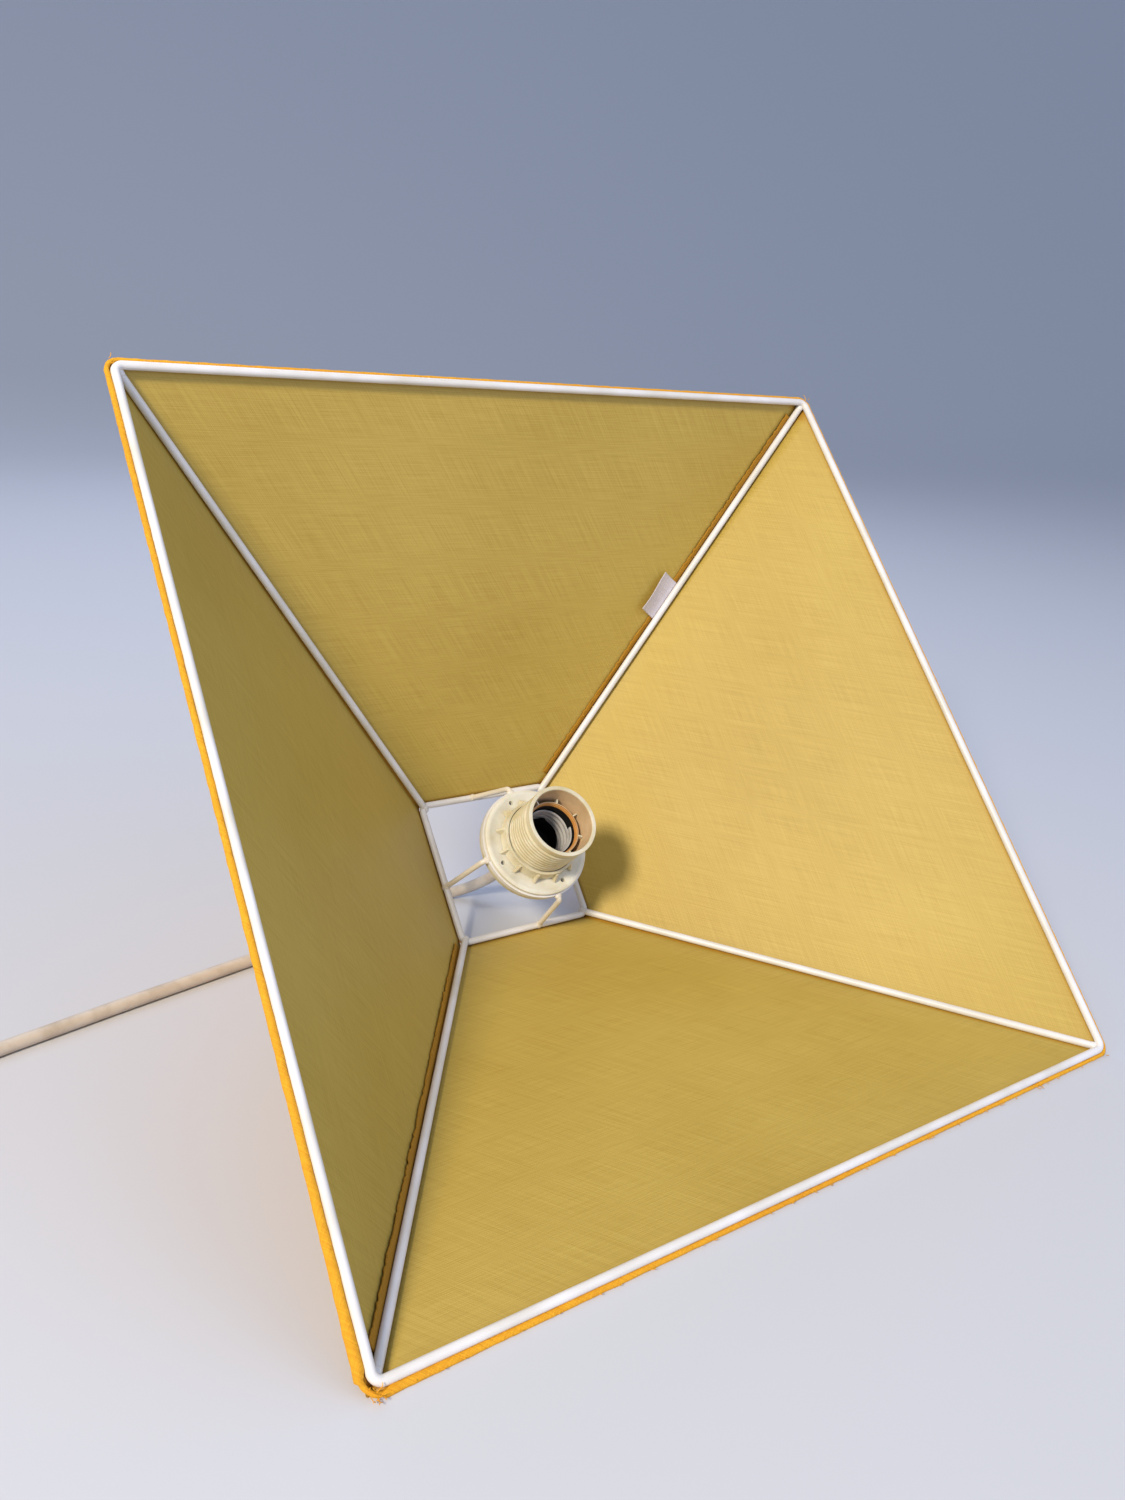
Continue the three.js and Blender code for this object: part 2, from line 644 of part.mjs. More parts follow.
function buildCord(cord, exit, heading) {
  const route = looseRoute(exit.clone().addScaledVector(heading, clearance), heading);
  const whole = new THREE.CatmullRomCurve3(route, false, "centripetal");
  const line = new Stations();
  const steps = 30;
  const outside = coil.ring / 2 + coilWidth / 2 + clearance;
  for (let i = 0; i <= steps; i++) {
    const point = whole.getPointAt(i / steps);
    const nearest = Math.hypot(point.x - coil.x, Math.abs(point.y - coil.y) - cordRadius);
    if (nearest > outside) line.add(point, whole.getTangentAt(i / steps));
  }
  addPiece(cord, "cord_tube", tube(line, cordDiameter, cordSides), flexVinyl);
  addPiece(cord, "cord_coil", coilRing(), flexVinyl).position.set(coil.x, coil.y, 0);
  const band = tieBand(tie.width, tie.thickness, 0);
  addPiece(cord, "coil_tie", band, whiteSatin).position.set(coil.x, coil.y, 0);
  buildTail(cord);
}

// ---- assembly ----
const lampshade = new THREE.Group();
const shade = new THREE.Group(); // zero at the middle of the mouth, +Z out of it
shade.rotation.x = slope; // the bottom panel comes level
lampshade.add(shade);
buildFrame(shade);
buildSpider(shade);
buildCover(shade);
buildSeams(shade);
const { holder, reliefEnd } = buildHolder(shade);

lampshade.updateMatrixWorld(true);
const box = new THREE.Box3().setFromObject(shade, true);
const middle = box.getCenter(new THREE.Vector3());
shade.position.set(-middle.x, -middle.y, -box.min.z);
lampshade.updateMatrixWorld(true);

const cord = new THREE.Group();
lampshade.add(cord);
const exit = holder.localToWorld(reliefEnd);
const backwards = new THREE.Vector3(0, 0, -1).transformDirection(holder.matrixWorld);
buildCord(cord, exit, backwards);

export default lampshade;
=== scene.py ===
import math
import random

import bmesh
import bpy
from mathutils import Matrix, Quaternion, Vector, noise


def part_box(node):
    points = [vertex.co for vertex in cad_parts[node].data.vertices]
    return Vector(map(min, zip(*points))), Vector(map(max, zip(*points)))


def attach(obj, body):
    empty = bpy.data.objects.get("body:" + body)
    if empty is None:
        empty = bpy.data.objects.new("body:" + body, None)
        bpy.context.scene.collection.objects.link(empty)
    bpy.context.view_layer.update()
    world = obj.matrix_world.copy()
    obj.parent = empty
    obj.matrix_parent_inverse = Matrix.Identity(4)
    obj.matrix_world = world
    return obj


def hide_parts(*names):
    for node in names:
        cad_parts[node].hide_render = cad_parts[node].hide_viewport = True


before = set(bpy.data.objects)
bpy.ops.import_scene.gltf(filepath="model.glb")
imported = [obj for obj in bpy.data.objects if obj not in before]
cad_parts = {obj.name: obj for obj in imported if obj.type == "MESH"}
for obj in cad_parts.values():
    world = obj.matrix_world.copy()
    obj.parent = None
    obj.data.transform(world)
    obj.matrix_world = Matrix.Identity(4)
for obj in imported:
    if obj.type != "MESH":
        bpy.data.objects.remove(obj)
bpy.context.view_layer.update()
random.seed(11)
print("frame loaded:", len(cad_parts), "nodes")

mm = 0.001
body = "lampshade"

# The shade as designed, in millimetres. Its own frame has zero at the middle of the mouth and +Z out of it.
shade = {"rim": 400, "neck": 82, "height": 170, "wire": 3.8, "bend": 4}
holder = {"drop": 131.5, "sag": 3, "thread": 39.6, "pitch": 2.5, "front": 34.5}


def middleOf(node):
    low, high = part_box(node)
    return (low + high) / 2


slope = math.atan2(shade["height"], (shade["rim"] - shade["neck"]) / 2)
slant = math.hypot(shade["height"], (shade["rim"] - shade["neck"]) / 2)
floorPlace = Matrix.Scale(mm, 4)
shadePlace = Matrix.Translation(middleOf("rim_wire")) @ Matrix.Rotation(slope, 4, "X") @ floorPlace
holderPlace = shadePlace @ Matrix.Translation((0, -holder["sag"], -holder["drop"]))


def quarterTurn(count):
    return Matrix.Rotation(count * math.pi / 2, 4, "Z")


# ---- camera and light ----
camera = {"place": (-0.3179, -0.3901, 0.3176), "aim": (-0.0220, 0.0349, 0.1324), "roll": 4.62, "lens": 27.16}


def placeCamera():
    data = bpy.data.cameras.new("camera")
    data.lens = camera["lens"]
    data.clip_start = 0.01
    eye = bpy.data.objects.new("camera", data)
    bpy.context.scene.collection.objects.link(eye)
    look = Vector(camera["aim"]) - Vector(camera["place"])
    roll = Quaternion((0, 0, 1), math.radians(camera["roll"]))
    eye.location = camera["place"]
    eye.rotation_mode = "QUATERNION"
    eye.rotation_quaternion = look.to_track_quat("-Z", "Y") @ roll
    bpy.context.scene.camera = eye


studio = {
    "key": {"at": (-1.85, -0.95, 1.6), "size": 0.42, "power": 66, "tint": "FFF1D8"},
    "fill": {"at": (1.2, -1.8, 1.2), "size": 1.8, "power": 13, "tint": "DCE6FF"},
    "back": {"at": (0.3, 1.5, 1.7), "size": 1.5, "power": 14, "tint": "DCE6FF"},
    "world": {"tint": "BFCCE6", "strength": 0.68},
    "aim": (0, 0, 0.12),
    "floor": {"tint": "C9CCD4", "size": 18, "sweep": 2.2, "curve": 0.16},
}


def colour(hexCode):
    parts = [int(hexCode[i:i + 2], 16) / 255 for i in (0, 2, 4)]
    return tuple(p / 12.92 if p <= 0.04045 else ((p + 0.055) / 1.055) ** 2.4 for p in parts) + (1,)


def addNode(tree, kind, inputs=None, **settings):
    node = tree.nodes.new("ShaderNode" + kind)
    for name, value in settings.items():
        setattr(node, name, value)
    for name, value in (inputs or {}).items():
        if isinstance(value, bpy.types.NodeSocket):
            tree.links.new(value, node.inputs[name])
        else:
            node.inputs[name].default_value = value
    return node


def newMaterial(name, **sockets):
    material = bpy.data.materials.new(name)
    material.use_nodes = True
    shader = material.node_tree.nodes["Principled BSDF"]
    for socket, value in sockets.items():
        shader.inputs[socket.replace("_", " ")].default_value = value
    return material, material.node_tree, shader


def lightStudio():
    scene = bpy.context.scene
    scene.view_settings.view_transform = "Standard"
    for name in ("key", "fill", "back"):
        lamp = studio[name]
        data = bpy.data.lights.new(name, "AREA")
        data.size = lamp["size"]
        data.energy = lamp["power"]
        data.color = colour(lamp["tint"])[:3]
        light = bpy.data.objects.new(name, data)
        light.location = lamp["at"]
        look = Vector(studio["aim"]) - Vector(lamp["at"])
        light.rotation_euler = look.to_track_quat("-Z", "Y").to_euler()
        scene.collection.objects.link(light)
    world = bpy.data.worlds.new("studio")
    world.use_nodes = True
    background = world.node_tree.nodes["Background"]
    background.inputs["Color"].default_value = colour(studio["world"]["tint"])
    background.inputs["Strength"].default_value = studio["world"]["strength"]
    scene.world = world
    ground = studio["floor"]
    sheet = bmesh.new()
    bmesh.ops.create_grid(sheet, x_segments=1, y_segments=120, size=ground["size"])
    for v in sheet.verts:  # the paper sweeps up behind the object
        rise = max(0, v.co.y - ground["sweep"])
        v.co.z = ground["curve"] * rise ** 2
    mesh = bpy.data.meshes.new("floor")
    sheet.to_mesh(mesh)
    sheet.free()
    mesh.shade_smooth()
    paper, _, shader = newMaterial("studioPaper", Roughness=0.9)
    shader.inputs["Base Color"].default_value = colour(ground["tint"])
    mesh.materials.append(paper)
    floor = bpy.data.objects.new("floor", mesh)
    scene.collection.objects.link(floor)


placeCamera()
lightStudio()


# ---- making pieces ----
def showPiece(name, data, material, replaced=(), rides=body):
    piece = bpy.data.objects.new(name, data)
    bpy.context.scene.collection.objects.link(piece)
    for each in material if isinstance(material, list) else [material]:
        data.materials.append(each)
    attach(piece, rides)
    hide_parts(*replaced)
    return piece


def finishPiece(name, bm, place, material, replaced=(), rides=body, edge=0, crease=35, outward=True):
    if outward:
        bmesh.ops.recalc_face_normals(bm, faces=bm.faces)
    bm.transform(place)
    for v in bm.verts:  # what rests on the floor goes flat against it
        v.co.z = max(v.co.z, 0)
    mesh = bpy.data.meshes.new(name)
    bm.to_mesh(mesh)
    bm.free()
    mesh.shade_smooth()
    mesh.set_sharp_from_angle(angle=math.radians(crease))
    piece = showPiece(name, mesh, material, replaced, rides)
    if edge:
        rounding = piece.modifiers.new("edges", "BEVEL")
        rounding.width = edge * mm
        rounding.segments = 2
        rounding.limit_method = "ANGLE"
        rounding.angle_limit = math.radians(crease)
        rounding.harden_normals = True
    return piece


def thicken(piece, thickness, offset):
    wall = piece.modifiers.new("wall", "SOLIDIFY")
    wall.thickness = thickness * mm
    wall.offset = offset
    return wall


# A cloth pattern that lies flat: across and along the piece as it is before it is placed.
def layFlat(bm):
    uv = bm.loops.layers.uv.new("cloth")
    for f in bm.faces:
        for loop in f.loops:
            loop[uv].uv = loop.vert.co.xy


def onlyPoints(geometry):
    return [g for g in geometry if isinstance(g, bmesh.types.BMVert)]


def ringEdges(points):
    return list({e for p in points for e in p.link_edges if all(v in points for v in e.verts)})


# A round wire through its corners, bent at each one. A closed one starts and ends half way along a side.
def bendWire(bm, corners, diameter, bend, sides=16, bendSteps=8, runStep=None, cap=True):
    points = [Vector(c) for c in corners]
    heading = (points[1] - points[0]).normalized()
    place = Matrix.Translation(points[0]) @ heading.to_track_quat("Z", "Y").to_matrix().to_4x4()
    made = bmesh.ops.create_circle(bm, cap_ends=False, radius=diameter / 2, segments=sides, matrix=place)
    ring = first = list(made["verts"])
    at = points[0]
    for i in range(1, len(points)):
        setback = 0
        if i < len(points) - 1:
            following = (points[i + 1] - points[i]).normalized()
            angle = heading.angle(following)
            setback = bend * math.tan(angle / 2)
        length = (points[i] - at).length - setback
        steps = max(1, round(length / runStep)) if runStep else 1
        for _ in range(steps):
            made = bmesh.ops.extrude_edge_only(bm, edges=ringEdges(ring))
            ring = onlyPoints(made["geom"])
            bmesh.ops.translate(bm, verts=ring, vec=heading * (length / steps))
        if i == len(points) - 1:
            break
        axis = heading.cross(following).normalized()
        start = points[i] - heading * setback
        centre = start + axis.cross(heading) * bend
        made = bmesh.ops.spin(bm, geom=ring + ringEdges(ring), cent=centre, axis=axis, angle=angle,
                              steps=bendSteps)
        ring = onlyPoints(made["geom_last"])
        at = points[i] + following * setback
        heading = following
    if cap:
        for end in (first, ring):
            bmesh.ops.contextual_create(bm, geom=ringEdges(end))


def squareWire(bm, side, level, diameter, bend, **more):
    half = side / 2
    around = [(0, -half), (half, -half), (half, half), (-half, half), (-half, -half), (0, -half)]
    bendWire(bm, [(x, y, level) for x, y in around], diameter, bend, cap=False, **more)
    bmesh.ops.remove_doubles(bm, verts=bm.verts, dist=0.01)


# A turned piece about Z from an outline of radius and height, closed on itself or meeting the axis.
def turnOutline(bm, outline, steps=96, closed=True):
    points = [bm.verts.new((radius, 0, height)) for radius, height in outline]
    pairs = list(zip(points, points[1:] + points[:1] if closed else points[1:]))
    pairs = [pair for pair in pairs if any(v.co.x > 1e-6 for v in pair)]
    edges = [bm.edges.new(pair) for pair in pairs]
    bmesh.ops.spin(bm, geom=points + edges, cent=(0, 0, 0), axis=(0, 0, 1), angle=2 * math.pi, steps=steps,
                   use_merge=True)
    bmesh.ops.remove_doubles(bm, verts=bm.verts, dist=1e-4)


def addBox(bm, size, place):
    return bmesh.ops.create_cube(bm, size=1, matrix=place @ Matrix.Diagonal((*size, 1)))["verts"]


def addRod(bm, radius, low, high, place=Matrix.Identity(4), sides=24):
    middle = place @ Matrix.Translation((0, 0, (low + high) / 2))
    made = bmesh.ops.create_cone(bm, cap_ends=True, segments=sides, radius1=radius, radius2=radius,
                                 depth=high - low, matrix=middle)
    return made["verts"]


def addBead(bm, place, size):
    bmesh.ops.create_icosphere(bm, subdivisions=3, radius=1, matrix=place @ Matrix.Diagonal((*size, 1)))


def roughen(bm, amount, size):
    bm.normal_update()
    for v in bm.verts:
        v.co += v.normal * noise.noise(v.co / size) * amount


# Cuts solids out of a piece that has been shown, and leaves the result as its mesh.
def cutAway(piece, tool):
    cutter = bpy.data.objects.new("cutter", bpy.data.meshes.new("cutter"))
    bmesh.ops.recalc_face_normals(tool, faces=tool.faces)
    tool.to_mesh(cutter.data)
    tool.free()
    bpy.context.scene.collection.objects.link(cutter)
    hole = piece.modifiers.new("hole", "BOOLEAN")
    hole.object = cutter
    hole.use_self = True  # parts of a piece may overlap
    piece.modifiers.move(len(piece.modifiers) - 1, 0)
    others = [m for m in piece.modifiers if m != hole]
    for m in others:
        m.show_viewport = False
    graph = bpy.context.evaluated_depsgraph_get()
    mesh = bpy.data.meshes.new_from_object(piece.evaluated_get(graph))
    piece.modifiers.remove(hole)
    bpy.data.objects.remove(cutter)
    piece.data = mesh
    for m in others:
        m.show_viewport = True


# ---- materials ----
# Powder-coated steel wire: a thick, smooth white skin with a faint orange peel, chipped to dark steel.
def powderCoat(name, tint, chips=()):
    material, tree, shader = newMaterial(name, Roughness=0.34, IOR=1.5)
    place = addNode(tree, "TexCoord").outputs["Object"]
    patches = addNode(tree, "TexNoise", {"Vector": place, "Scale": 35, "Detail": 3})
    grime = addNode(tree, "MapRange", {0: patches.outputs["Fac"], "From Min": 0.35, "From Max": 0.75})
    skin = addNode(tree, "Mix", {0: grime.outputs[0], 6: colour(tint), 7: colour("D3CFC6")}, data_type="RGBA")
    result = skin.outputs[2]
    peel = addNode(tree, "TexNoise", {"Vector": place, "Scale": 1400, "Detail": 2})  # bumps 0.7 mm apart
    bump = addNode(tree, "Bump", {"Height": peel.outputs["Fac"], "Strength": 0.12, "Distance": 0.0002})
    for spot, reach, share in chips:
        away = addNode(tree, "VectorMath", {0: place, 1: spot}, operation="DISTANCE")
        near = addNode(tree, "MapRange", {0: away.outputs["Value"], "From Min": 0, "From Max": reach * mm,
                                          "To Min": share, "To Max": 0})
        flakes = addNode(tree, "TexVoronoi", {"Vector": place, "Scale": 900})  # 1 mm flakes
        hit = addNode(tree, "Math", {0: flakes.outputs["Distance"], 1: near.outputs[0]},
                      operation="LESS_THAN")
        bare = addNode(tree, "Mix", {0: hit.outputs[0], 6: result, 7: colour("26242A")}, data_type="RGBA")
        result = bare.outputs[2]
    tree.links.new(result, shader.inputs["Base Color"])
    tree.links.new(bump.outputs[0], shader.inputs["Normal"])
    return material


# Woven polyester on a stiff PVC backing: fine threads with slubs along the rim, and a satin sheen. The real
# threads are 0.45 mm apart, which is drawn at 0.9 mm so that the weave shows.
weave = {"thread": 0.9, "slubLength": 26, "warpSlub": 30, "slubWidth": 0.6, "wireShadeReach": 5}


def wovenCloth(name, dark, light, roughness, sheen, depth, thread=weave["thread"], wireShade=None):
    material, tree, shader = newMaterial(name, Roughness=roughness, Sheen_Weight=sheen, Sheen_Roughness=0.35)
    shader.inputs["Sheen Tint"].default_value = colour(light)
    shader.inputs["Specular IOR Level"].default_value = 0.42
    cloth = addNode(tree, "TexCoord").outputs["UV"]  # in millimetres, along and across the rim
    bands = {"Vector": cloth, "Scale": 0.314 / thread, "Detail": 1, "Detail Scale": 2}
    warp = addNode(tree, "TexWave", {**bands, "Distortion": 1.2}, bands_direction="X")
    weft = addNode(tree, "TexWave", {**bands, "Distortion": 1.6}, bands_direction="Y")
    over = addNode(tree, "Math", {0: warp.outputs["Fac"], 1: weft.outputs["Fac"]}, operation="MULTIPLY")
    long = (1 / weave["slubLength"], 1 / weave["slubWidth"], 1)
    high = (1 / weave["slubWidth"], 1 / weave["warpSlub"], 1)
    lying = addNode(tree, "Mapping", {"Vector": cloth, "Scale": long})
    slubs = addNode(tree, "TexNoise", {"Vector": lying.outputs[0], "Scale": 1, "Detail": 3, "Roughness": 0.6})
    standing = addNode(tree, "Mapping", {"Vector": cloth, "Scale": high})
    warpSlubs = addNode(tree, "TexNoise", {"Vector": standing.outputs[0], "Scale": 1, "Detail": 2})
    fibre = addNode(tree, "Math", {0: slubs.outputs["Fac"], 1: warpSlubs.outputs["Fac"]}, operation="ADD")
    threads = addNode(tree, "Math", {0: over.outputs[0], 1: 0.3, 2: fibre.outputs[0]},
                      operation="MULTIPLY_ADD")
    tone = addNode(tree, "MapRange", {0: threads.outputs[0], "From Min": 0.45, "From Max": 1.7})
    wide = addNode(tree, "TexNoise", {"Vector": addNode(tree, "TexCoord").outputs["Object"], "Scale": 9,
                                      "Detail": 2})
    cloudy = addNode(tree, "MapRange", {0: wide.outputs["Fac"], "From Min": 0.3, "From Max": 0.7,
                                        "To Min": -0.12, "To Max": 0.12})
    shift = addNode(tree, "Math", {0: tone.outputs[0], 1: cloudy.outputs[0]}, operation="ADD", use_clamp=True)
    dyed = addNode(tree, "Mix", {0: shift.outputs[0], 6: colour(dark), 7: colour(light)}, data_type="RGBA")
    result = dyed.outputs[2]
    if wireShade:  # painted shade beside the wires: the laminate is drawn darker and more orange within a few millimetres of them
        edge = addNode(tree, "Attribute", attribute_name="edge")
        span = {"From Min": 0.5, "From Max": weave["wireShadeReach"], "To Min": 0.85, "To Max": 0}
        wireShadeMix = addNode(tree, "MapRange", {0: edge.outputs["Fac"], **span}, interpolation_type="SMOOTHSTEP")
        result = addNode(tree, "Mix", {0: wireShadeMix.outputs[0], 6: result, 7: colour(wireShade)},
                         data_type="RGBA").outputs[2]
    tree.links.new(result, shader.inputs["Base Color"])
    bump = addNode(tree, "Bump", {"Height": threads.outputs[0], "Strength": depth, "Distance": 0.0003})
    tree.links.new(bump.outputs[0], shader.inputs["Normal"])
    return material


# Injection-moulded thermoplastic: an even satin skin that yellows in patches.
def mouldedPlastic(name, tint, aged, roughness):
    material, tree, shader = newMaterial(name, Roughness=roughness, IOR=1.5, Specular_IOR_Level=0.4)
    shader.inputs["Subsurface Weight"].default_value = 0.06
    shader.inputs["Subsurface Scale"].default_value = 0.002
    place = addNode(tree, "TexCoord").outputs["Object"]
    wide = addNode(tree, "TexNoise", {"Vector": place, "Scale": 70, "Detail": 4, "Roughness": 0.6})
    patches = addNode(tree, "MapRange", {0: wide.outputs["Fac"], "From Min": 0.4, "From Max": 0.7})
    skin = addNode(tree, "Mix", {0: patches.outputs[0], 6: colour(tint), 7: colour(aged)}, data_type="RGBA")
    tree.links.new(skin.outputs[2], shader.inputs["Base Color"])
    grain = addNode(tree, "TexNoise", {"Vector": place, "Scale": 2600, "Detail": 2})  # spark-eroded, 0.4 mm
    bump = addNode(tree, "Bump", {"Height": grain.outputs["Fac"], "Strength": 0.1, "Distance": 0.0001})
    tree.links.new(bump.outputs[0], shader.inputs["Normal"])
    return material


# Plated or bare metal, dulled by handling: a little uneven in colour and in gloss.
def dullMetal(name, tint, shadow, roughness):
    material, tree, shader = newMaterial(name, Metallic=1.0, Roughness=roughness)
    place = addNode(tree, "TexCoord").outputs["Object"]
    wide = addNode(tree, "TexNoise", {"Vector": place, "Scale": 220, "Detail": 5, "Roughness": 0.65})
    worn = addNode(tree, "Mix", {0: wide.outputs["Fac"], 6: colour(tint), 7: colour(shadow)},
                   data_type="RGBA")
    tree.links.new(worn.outputs[2], shader.inputs["Base Color"])
    gloss = addNode(tree, "MapRange", {0: wide.outputs["Fac"], "To Min": roughness - 0.1,
                                       "To Max": roughness + 0.15})
    tree.links.new(gloss.outputs[0], shader.inputs["Roughness"])
    return material


chipSpots = [  # place, reach in millimetres, share that is bare
    ((0.19915, 0.1110, 0.2620), 3.5, 0.55),
    ((0.1975, 0.1290, 0.2920), 3.0, 0.6),
]
whitePowderCoat = powderCoat("whitePowderCoat", "E9E8EC", chipSpots)
creamPowderCoat = powderCoat("creamPowderCoat", "E5DDD0")
# B07A14 is painted shade: the darker orange that the laminate is drawn in beside the wires
yellowLaminate = wovenCloth("yellowLaminate", "A78A34", "CBB25C", 0.5, 0.25, 0.25, wireShade="B07A14")
goldenCloth = wovenCloth("goldenCloth", "D98A0A", "F8B822", 0.72, 0.35, 0.5)
goldenEdge = wovenCloth("goldenEdge", "D07F08", "FFC62E", 0.8, 0.4, 0.9, thread=0.6)
# painted shade: the seam allowances are the golden cloth drawn darker, as it looks in the shade beside the
# struts
shadedSeamCloth = wovenCloth("shadedSeamCloth", "9A6A08", "C48E22", 0.8, 0.3, 0.9, thread=0.6)
creamPlastic = mouldedPlastic("creamPolyester", "DDD8C4", "C9BD97", 0.42)
palePlastic = mouldedPlastic("palePolyester", "E3E1D5", "D3CCB4", 0.45)
tanPlastic = mouldedPlastic("brownedPolyester", "C9AE8A", "B0946C", 0.5)
toastedPlastic = mouldedPlastic("toastedPolyester", "D39A55", "B0752F", 0.5)
# Near-black: the contact base's colour, and painted shade on the deep inside of the socket
darkResinAndShade = mouldedPlastic("darkPhenolicAndShade", "060606", "0C0B0A", 0.6)
nickelSteel = dullMetal("nickelSteel", "B4B5B8", "86878C", 0.38)
dimSteel = dullMetal("dimSteel", "7C7C7A", "4E4D4C", 0.5)
tarnishedShell = mouldedPlastic("tarnishedShell", "C2C0BE", "9B9997", 0.45)
brass = dullMetal("stampedBrass", "C9A24D", "93713A", 0.36)
flexVinyl = mouldedPlastic("flexVinyl", "CFC7BC", "B9AD9E", 0.48)
brownVinyl = mouldedPlastic("brownVinyl", "6B4028", "573222", 0.45)
blueVinyl = mouldedPlastic("blueVinyl", "2D5F9A", "254E80", 0.45)
whiteSatin = wovenCloth("whiteSatin", "BDB6BE", "E6E0E8", 0.4, 0.3, 0.3, thread=0.5)
print("materials made")

# ---- the flex ----
# Its free route is listed in millimetres. The coil's turns are given as angle, lane and layer.
flex = {"diameter": 6.5, "length": 1360, "exit": -50.2, "straight": 2.5, "ring": 36, "centre": (-338, 44),
        "perTurn": 18, "clear": 0.25, "conductor": 2.4, "tail": 14}
freeRoute = [
    (-2, 131.7, 14.4), (-7.7, 138, 8.5), (-16.3, 142.1, 4.8), (-26.4, 143.6, 4), (-46, 141.7, 3.6),
    (-70, 136.8, 3.5), (-98, 130.3, 3.5), (-126, 124.8, 3.5), (-154, 119.3, 3.5), (-186, 112.8, 3.5),
    (-218, 106.2, 3.5), (-246, 100, 3.5), (-272, 94.3, 3.5), (-294, 89, 3.5),
]
coilTurns = [
    (90, 1, 0), (390, 1, 0), (435, 0, 0), (750, 0, 0), (795, -1, 0), (1110, -1, 0), (1132, -0.94, 0.7),
    (1155, -0.5, 1), (1455, -0.5, 1), (1478, 0, 1.15), (1500, 0.5, 1), (1620, 0.5, 1),
]
tailRoute = [(9, 9.4), (18, 9.7), (27, 8.2), (36, 5.4), (45, 3.9), (54, 3.5), (62.5, 3.5)]  # run, height
tie = {"angle": 215, "width": 6, "thickness": 0.9, "slack": 0.35, "lift": 1.1}


# Turns that lie in the hollows between those beneath them are only this much higher.
def stackHeight(layer):
    return flex["diameter"] / 2 + layer * flex["diameter"] * math.sin(math.radians(60))


def coilPoints():
    points = []
    step = 360 / flex["perTurn"]
    angle = coilTurns[0][0]
    while angle <= coilTurns[-1][0] + 0.1:
        for (a, laneA, layerA), (b, laneB, layerB) in zip(coilTurns, coilTurns[1:]):
            if a <= angle <= b:
                share = (angle - a) / (b - a)
                ease = share * share * (3 - 2 * share)
                lane, layer = laneA + (laneB - laneA) * ease, layerA + (layerB - layerA) * ease
        nearTie = math.exp(-(((angle - tie["angle"] + 180) % 360 - 180) / 16) ** 2)
        radius = flex["ring"] + lane * flex["diameter"]
        height = stackHeight(layer) + flex["clear"] + tie["lift"] * nearTie
        turn = math.radians(angle)
        x, y = flex["centre"]
        points.append(Vector((x + radius * math.cos(turn), y + radius * math.sin(turn), height)))
        angle += step
    return points


def smoothCurve(name, routes, diameter, steps=4, sides=3):
    data = bpy.data.curves.new(name, "CURVE")
    data.dimensions = "3D"
    data.bevel_depth = diameter / 2 * mm
    data.bevel_resolution = sides
    data.resolution_u = steps
    data.use_fill_caps = True
    for route in routes:
        line = data.splines.new("BEZIER")
        line.bezier_points.add(len(route) - 1)
        for knot, point in zip(line.bezier_points, route):
            knot.co = Vector(point) * mm
            knot.handle_left_type = knot.handle_right_type = "AUTO"
    return data


def makeFlex():
    inverse = floorPlace.inverted()
    exit = inverse @ holderPlace @ Vector((0, 0, flex["exit"]))
    heading = (inverse @ holderPlace).to_3x3() @ Vector((0, 0, -1))
    turns = coilPoints()
    tail = [Vector((turns[-1].x, turns[-1].y - run, height)) for run, height in tailRoute]
    route = [exit, exit + heading * flex["straight"]]
    route += [Vector(p) for p in freeRoute] + turns + tail
    length = sum((b - a).length for a, b in zip(route, route[1:]))
    data = smoothCurve("flex", [route], flex["diameter"], sides=5)
    piece = showPiece("flex", data, flexVinyl, ["cord_tube", "cord_coil", "cord_tail"])
    print("flex:", round(length), "mm")
    return piece, exit * mm, tail[-1]


connector = {"length": 24, "width": 17, "height": 12, "base": 7.4, "turret": 3.4, "bore": 1.9,
             "screws": (0.28, 0.72), "screwRadius": 2, "screwHole": 2.3}


def makeConnector(x, y):
    width, length, high = connector["width"], connector["length"], connector["height"]
    bm, holes, screws, tubes = bmesh.new(), bmesh.new(), bmesh.new(), bmesh.new()
    middle = y - length / 2
    addBox(bm, (width, length, connector["base"]), Matrix.Translation((x, middle, connector["base"] / 2)))
    for side in (-1, 1):
        across = x + side * width / 4
        along = Matrix.Translation((across, middle, high / 2)) @ Matrix.Rotation(math.pi / 2, 4, "X")
        addRod(bm, connector["turret"] + 0.4, -length / 2, length / 2, along, 32)
        addRod(holes, connector["bore"], -length, length, along)
        addRod(tubes, connector["bore"] + 0.5, -length / 2 + 3, length / 2 - 3, along)
        for share in connector["screws"]:
            up = Matrix.Translation((across, y - length * share, 0))
            addRod(bm, connector["turret"], 1, high, up, 32)
            addRod(holes, connector["screwHole"], high - 4, high + 1, up)
            addRod(screws, connector["screwRadius"], high - 7, high - 2.2, up)
            addBox(screws, (3.9, 0.6, 0.5), up @ Matrix.Translation((0, 0, high - 2.1)))
    block = finishPiece("screwConnector", bm, floorPlace, palePlastic, ["supply_connector"],
                        edge=0.35)
    holes.transform(floorPlace)
    cutAway(block, holes)
    inserts = finishPiece("connectorTubes", tubes, floorPlace, brass)
    heads = finishPiece("connectorScrews", screws, floorPlace, nickelSteel, edge=0.15)
    return [block, inserts, heads]


def makeCores(end):
    pieces = []
    gap = 1.35
    y = end.y - flex["tail"]
    for side, name, material in ((-1, "coreBrown", brownVinyl), (1, "coreBlue", blueVinyl)):
        start = Vector((end.x + side * gap, end.y + 3, end.z))
        mouth = Vector((end.x + side * connector["width"] / 4, y - 8, connector["height"] / 2))
        route = [start, start - Vector((0, 5, 0)), start.lerp(mouth, 0.55) - Vector((-side, 0, 0)),
                 mouth + Vector((0, 9, 0)), mouth]
        data = smoothCurve(name, [route], flex["conductor"], steps=6)
        node = "core_brown" if side < 0 else "core_blue"
        pieces.append(showPiece(name, data, material, [node]))
    return pieces


